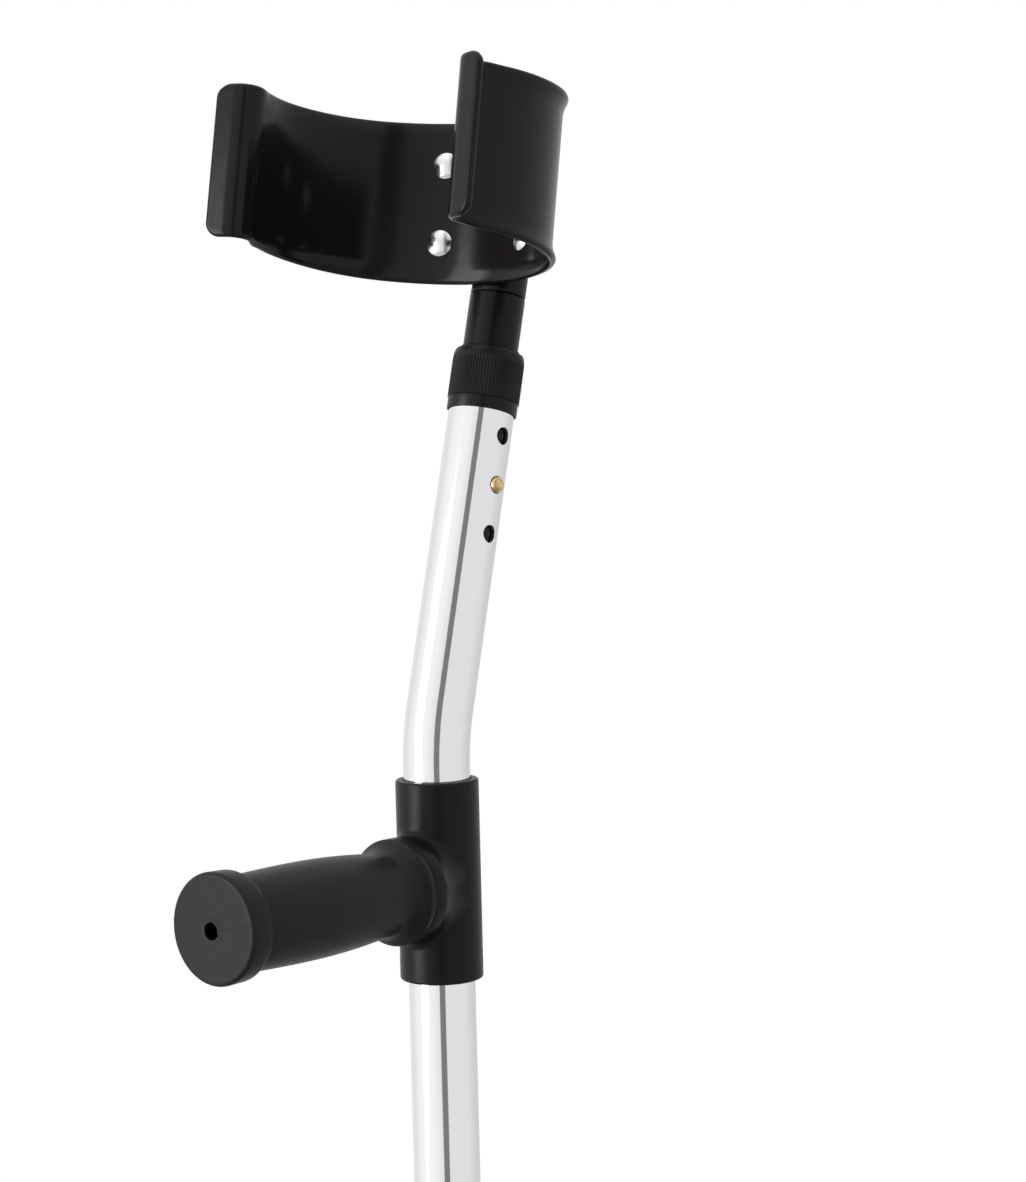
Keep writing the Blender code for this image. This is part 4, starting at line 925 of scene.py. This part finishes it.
# Cuff bracket: one black nylon moulding with a spigot in the stem, a band under the cuff's rim,
# a spine behind it and a saddle for the rivets. A steel pin through the stem holds the spigot.
def remoulded(node, voxel, passes):
    """A copy of a CAD node's solid with the soft edges of a moulding."""
    shape = bmesh.new()
    shape.from_mesh(nodes[node].data)
    bmesh.ops.remove_doubles(shape, verts=shape.verts, dist=1e-6)
    blank = add_object(node + "_blank", mesh_of(shape))
    remesh = blank.modifiers.new("voxels", "REMESH")
    remesh.mode = "VOXEL"
    remesh.voxel_size = voxel
    soften = blank.modifiers.new("soften", "SMOOTH")
    soften.factor = 0.5
    soften.iterations = passes
    graph = bpy.context.evaluated_depsgraph_get()
    made = bpy.data.meshes.new_from_object(blank.evaluated_get(graph))
    bpy.data.objects.remove(blank)
    made.shade_smooth()
    return made


PIN_START, PIN_END, PIN_EDGE = 0.0040, 0.0105, 0.0003
add_piece("moulded_bracket", remoulded("cuff_bracket", 0.00055, 7), "arm", nylon,
          "cuff_bracket")
pin = rounded([(0, PIN_START, 0), (PIN_RADIUS, PIN_START, PIN_EDGE),
               (PIN_RADIUS, PIN_END, PIN_EDGE), (0, PIN_END, 0)], 4)
add_piece("spigot_pin", turned_mesh(pin, 32), "arm", zinc, "bracket_pin",
          UPPER @ raised(PIN_HEIGHT, -pi / 2))


# Snap buttons: turned brass buttons riveted to the leaves of a bow spring of blue-grey strip
# steel, one spring in the stem and one in the leg.
LEAF_REACH = 0.0084
BUTTON_RADIUS = 0.00305
BUTTON_SHOULDER = 0.0130
BUTTON_DOME = 0.0022
TENON_RADIUS, TENON_HEAD_RADIUS, TENON_HEAD = 0.0014, 0.0022, 0.0006
brass, tree, shader, position = new_finish("brass", (0.88, 0.61, 0.32), 0.25, 1.0)
add_grain(tree, shader, position, 700.0, 0.16, 0.34, 0.00001)
add_colour(tree, shader, ramp(tree, clouds(tree, position, 420.0, 4.0), 0.35, 0.7),
           (0.58, 0.39, 0.18))
strip, tree, shader, position = new_finish("spring_steel", (0.42, 0.44, 0.47), 0.35, 1.0)
add_grain(tree, shader, position, 600.0, 0.28, 0.42)

LEAF_THICKNESS = 0.0010
seat, inside = LEAF_REACH + FIT, LEAF_REACH - LEAF_THICKNESS
button_line = [(out, BUTTON_SHOULDER + BUTTON_DOME - depth)
               for out, depth in dome(BUTTON_RADIUS, BUTTON_DOME, 12)]
button_line += [(BUTTON_RADIUS, seat), (TENON_RADIUS, seat), (TENON_RADIUS, inside),
                (TENON_HEAD_RADIUS, inside), (TENON_HEAD_RADIUS, inside - TENON_HEAD),
                (0, inside - TENON_HEAD)]
for prefix, axes, height in (("arm", UPPER, ARM_BUTTON), ("leg", Matrix.Identity(4), LEG_BUTTON)):
    for side, hand in ((-1, "left"), (1, "right")):
        add_piece(prefix + "_brass_button_" + hand, turned_mesh(button_line, 48, radians(50)),
                  prefix + "_button_" + hand[0], brass, prefix + "_button_" + hand,
                  axes @ raised(height, side * pi / 2, "Y"))
        dress(strip, "spring_steel", prefix + "_leaf_" + hand)
    dress(strip, "spring_steel", prefix + "_clip_bow")


# Forearm cuff: a bent steel strip dipped in black vinyl. Both long rims flare outwards, and
# each end of the open front turns out into a rounded lip.
CUFF_WALL = 0.0030
CUFF_BACK, CUFF_BACK_RADIUS, CUFF_BACK_TURN = 0.0120, 0.0629, radians(38.6)
CUFF_SIDE_RADIUS, CUFF_SIDE_TURN = 0.0486, radians(69.1)
CUFF_ARM = 0.0118
LIP_RADIUS, LIP_TURN = 0.0065, radians(94)
LIP_FLAT, LIP_CORNER, LIP_RISE = 0.0082, 0.0060, 0.0007
CUFF_BELOW, CUFF_ABOVE = 0.0310, 0.0259
CUFF_BACK_DROP, CUFF_BACK_RISE = 0.0046, 0.0024
FLARE_HEIGHT, FLARE_RADIUS = 0.0080, 0.0215
SIDE_SWELL = 0.65                # how much wider the rims flare at the sides
flare_angle = asin(FLARE_HEIGHT / FLARE_RADIUS)
rim_depth = CUFF_BELOW + CUFF_BACK_DROP + CUFF_WALL / 2 * sin(flare_angle)
rim_back = CUFF_BACK - FLARE_RADIUS + (FLARE_RADIUS + CUFF_WALL / 2) * cos(flare_angle)
CUFF_LEAN = radians(5.15)
BAND_HEIGHT = 0.0021
cuff_place = (BAND_FOOT + BAND_HEIGHT + FIT + rim_depth * cos(CUFF_LEAN)
              + rim_back * sin(CUFF_LEAN))
CUFF = UPPER @ raised(cuff_place, CUFF_LEAN)


def cuff_line():
    """Half of the strip's middle line, from the middle of its back to the end of a lip.

    Each point is (x, y, heading, share of the flare, share of the thickness, corner cut).
    """
    x, y, heading = 0.0, -CUFF_BACK, 0.0
    points = [(x, y, heading, 1.0, 1.0, 0.0)]

    def bend(radius, sweep, steps, share):
        """The strip's next bend; its radius and sweep are negative where it turns outwards."""
        nonlocal x, y, heading
        for _ in range(steps):
            ahead = heading + sweep / steps
            x += radius * (sin(ahead) - sin(heading))
            y += radius * (cos(ahead) - cos(heading))
            heading = ahead
            points.append((x, y, heading, share, 1.0, 0.0))

    bend(CUFF_BACK_RADIUS, CUFF_BACK_TURN, 14, 1.0)
    bend(CUFF_SIDE_RADIUS, CUFF_SIDE_TURN, 22, 1.0)
    steps = 12
    for k in range(1, steps + 1):
        x += CUFF_ARM / steps * cos(heading)
        y -= CUFF_ARM / steps * sin(heading)
        fade = max(0, (k / steps - 0.4) / 0.6)
        points.append((x, y, heading, 1 - fade * fade * (3 - 2 * fade), 1.0, 0.0))
    bend(-LIP_RADIUS, -LIP_TURN, 8, 0.0)
    half = CUFF_WALL / 2
    alongs = spaced(0, LIP_FLAT - half, 8)[1:-1]
    alongs += [LIP_FLAT - half + half * sin(radians(a)) for a in (0, 20, 40, 58, 74, 90)]
    for along in alongs:
        inside = max(along - (LIP_FLAT - LIP_CORNER), 0)
        cut = LIP_CORNER - sqrt(max(LIP_CORNER ** 2 - inside ** 2, 0))
        thin = max((along - (LIP_FLAT - half)) / half, 0)
        points.append((x + along * cos(heading), y - along * sin(heading), heading, 0.0,
                       sqrt(max(1 - thin ** 2, 0)), cut))
    return points


def cuff_section(point):
    """The closed outline across the strip at a point, as (outwards, height) pairs."""
    _, _, heading, share, thick, cut = point
    back = (1 + cos(heading)) / 2 * share
    low = -CUFF_BELOW - CUFF_BACK_DROP * back - LIP_RISE * (1 - share) + cut
    high = CUFF_ABOVE + CUFF_BACK_RISE * back + LIP_RISE * (1 - share) - cut
    half = CUFF_WALL / 2 * thick
    low, high = low + half, high - half
    reach = min(FLARE_HEIGHT - half, (high - low) / 2)
    side = min(max((heading - radians(23)) / radians(67), 0), 1)
    swell = share * (1 + SIDE_SWELL * sin(pi * side) ** 2)
    flare_steps, wall_steps, cap_steps = 8, 5, 5
    middle = [(depth, low + reach - depth, -1) for depth in spaced(reach, 0, flare_steps)]
    middle += [(0.0, height, 1)
               for height in spaced(low + reach, high - reach, wall_steps)[1:-1]]
    middle += [(depth, high - reach + depth, 1) for depth in spaced(0, reach, flare_steps)]
    outer, inner = [], []
    for depth, height, upward in middle:
        run = sqrt(FLARE_RADIUS ** 2 - depth ** 2)
        lean = (FLARE_RADIUS - run) * swell
        slope = atan(swell * depth / run)
        outer.append((lean + half * cos(slope), height - upward * half * sin(slope)))
        inner.append((lean - half * cos(slope), height + upward * half * sin(slope)))

    def cap(start, end):
        centre = Vector(start).lerp(Vector(end), 0.5)
        arm = Vector(start) - centre
        across = Vector((-arm.y, arm.x))
        return [(centre + arm * cos(turn) + across * sin(turn))[:]
                for turn in spaced(0, pi, cap_steps)[1:-1]]

    return outer + cap(outer[-1], inner[-1]) + inner[::-1] + cap(inner[0], outer[0])


def cuff_mesh():
    line = cuff_line()
    columns = [(-1, point) for point in line[:0:-1]] + [(1, point) for point in line]
    shape = bmesh.new()
    rings = []
    for side, point in columns:
        x, y, heading = point[:3]
        rings.append([shape.verts.new((side * (x + out * sin(heading)), y + out * cos(heading),
                                       height)) for out, height in cuff_section(point)])
    for ring, after in zip(rings, rings[1:]):
        count = len(ring)
        for k in range(count):
            shape.faces.new((ring[k], ring[(k + 1) % count], after[(k + 1) % count], after[k]))
    bmesh.ops.remove_doubles(shape, verts=shape.verts, dist=0.00001)
    bmesh.ops.recalc_face_normals(shape, faces=shape.faces)
    shape.transform(CUFF)
    mesh = mesh_of(shape)
    mesh.shade_smooth()
    return mesh


vinyl, tree, shader, position = new_finish("cuff_vinyl", (0.0132, 0.0108, 0.0140), 0.17,
                                           specular=0.18)
add_bump(tree, shader, clouds(tree, position, 42.0, 2.0), 0.00014)
add_grain(tree, shader, position, 500.0, 0.15, 0.20, 0.000004,
          add_marks(tree, position, 40.0, 0.5), 0.15)
add_piece("dipped_cuff", cuff_mesh(), "arm", vinyl, "forearm_cuff")


# Cuff rivets: four bright nickel-plated steel rivets with domed heads inside the cuff, each
# set over a small zinc-plated washer behind the bracket's saddle.
RIVET_RADIUS, RIVET_HEAD_RADIUS, RIVET_HEAD_HEIGHT = 0.0021, 0.0051, 0.0019
RIVET_TAIL_RADIUS, RIVET_TAIL_HEIGHT = 0.0036, 0.0013
RIVET_HALF_SPREAD, RIVET_PITCH, RIVET_CENTRE = 0.0207, 0.0305, -0.0045
SADDLE_THICKNESS = 0.0034
RIVET_WASHER_BORE, RIVET_WASHER_RADIUS, RIVET_WASHER_THICKNESS = 0.0024, 0.0048, 0.0008
cuff_inner = CUFF_BACK_RADIUS - CUFF_WALL / 2
saddle_back = CUFF_BACK_RADIUS + CUFF_WALL / 2 + FIT + SADDLE_THICKNESS
washer_back = saddle_back + FIT + RIVET_WASHER_THICKNESS
head_seat = sqrt(cuff_inner ** 2 - RIVET_HEAD_RADIUS ** 2) - 0.0002
tail_seat = washer_back + FIT
rivet_line = domed_head(RIVET_HEAD_RADIUS, RIVET_HEAD_HEIGHT, head_seat, 12, 0.12)
rivet_line += [(RIVET_RADIUS, head_seat), (RIVET_RADIUS, tail_seat)]
rivet_line += [(out, tail_seat + RIVET_TAIL_HEIGHT - depth)
               for out, depth in reversed(dome(RIVET_TAIL_RADIUS, RIVET_TAIL_HEIGHT, 8))]
washer = washer_profile(RIVET_WASHER_BORE, RIVET_WASHER_RADIUS, saddle_back + FIT, washer_back,
                        0.0002)
nickel, tree, shader, position = new_finish("nickel_plate", (0.76, 0.77, 0.785), 0.2, 1.0)
add_grain(tree, shader, position, 450.0, 0.16, 0.28)
swing = asin(RIVET_HALF_SPREAD / CUFF_BACK_RADIUS)
for number, (side, step) in enumerate(((-1, -0.5), (-1, 0.5), (1, -0.5), (1, 0.5)), 1):
    place = (CUFF @ Matrix.Translation((0, -CUFF_BACK - CUFF_BACK_RADIUS,
                                        RIVET_CENTRE + step * RIVET_PITCH))
             @ Euler((-pi / 2, 0, -side * swing)).to_matrix().to_4x4())
    add_piece("domed_rivet_%d" % number, turned_mesh(rivet_line, 48, radians(45)), "arm", nickel,
              "cuff_rivet_%d" % number, place)
    add_piece("saddle_washer_%d" % number, turned_mesh(washer, 48), "arm", zinc,
              "rivet_washer_%d" % number, place)


# Leg: a bright aluminium tube that slides in the lower end of the main tube, with a cross hole
# for its buttons near its top.
LEG_BOTTOM = 0.0141
LEG_TOP = LEG_BUTTON + 0.016
leg_holes = [(LEG_BUTTON - LEG_BOTTOM, quarter, CUTOUT_RADIUS) for quarter in (0, 2)]
add_piece("sliding_leg", drilled_tube(lambda along: raised(LEG_BOTTOM + along),
                                      LEG_TOP - LEG_BOTTOM, INNER_RADIUS, INNER_BORE, leg_holes),
          "leg", bright_tube, "leg_tube")


# Ferrule: a dark grey rubber foot pushed over the leg. It has a bead at its mouth, a waist that
# spreads to the foot, and two ring grooves in its sole.
FERRULE_HEIGHT, FERRULE_FLOOR = 0.046, 0.012
FERRULE_BORE, FERRULE_WALL, FERRULE_BEAD = INNER_RADIUS + FIT, 0.0031, 0.0008
FOOT_RADIUS, FOOT_HEIGHT, SPREAD_TOP = 0.0195, 0.010, 0.024
GROOVE_WIDTH, GROOVE_DEPTH = 0.002, 0.0016
neck = FERRULE_BORE + FERRULE_WALL
ferrule_line = rounded([(0, FERRULE_FLOOR, 0), (FERRULE_BORE, FERRULE_FLOOR, 0),
                        (FERRULE_BORE, FERRULE_HEIGHT, 0.0006),
                        (neck + FERRULE_BEAD, FERRULE_HEIGHT, 0.0010),
                        (neck + FERRULE_BEAD, FERRULE_HEIGHT - 0.005, 0.0006),
                        (neck, FERRULE_HEIGHT - 0.0056, 0.0004)], 5)
ferrule_line += [(neck + (FOOT_RADIUS - neck) * (1 - cos(angle)),
                  SPREAD_TOP - (SPREAD_TOP - FOOT_HEIGHT) * sin(angle))
                 for angle in spaced(0, pi / 2, 18)]
ferrule_line += rounded([(FOOT_RADIUS, FOOT_HEIGHT - 0.0005, 0), (FOOT_RADIUS, 0, 0.0015),
                         (0.0150, 0, 0)], 6)[1:-1]
for outer in (0.0140, 0.0095):
    inner = outer - GROOVE_WIDTH
    ferrule_line += rounded([(outer + 0.0012, 0, 0), (outer, 0, 0.0003),
                             (outer, GROOVE_DEPTH, 0.0003), (inner, GROOVE_DEPTH, 0.0003),
                             (inner, 0, 0.0003), (inner - 0.0008, 0, 0)], 2)[1:-1]
ferrule_line.append((0, 0))
rubber, tree, shader, position = new_finish("grey_rubber", (0.045, 0.045, 0.047), 0.75,
                                            specular=0.3)
add_grain(tree, shader, position, 1200.0, 0.68, 0.85, 0.00006)
add_colour(tree, shader, ramp(tree, clouds(tree, position, 160.0, 5.0), 0.45, 0.75),
           (0.075, 0.073, 0.070))
add_piece("rubber_foot", turned_mesh(ferrule_line, 96, radians(40)), "leg", rubber,
          "ferrule")
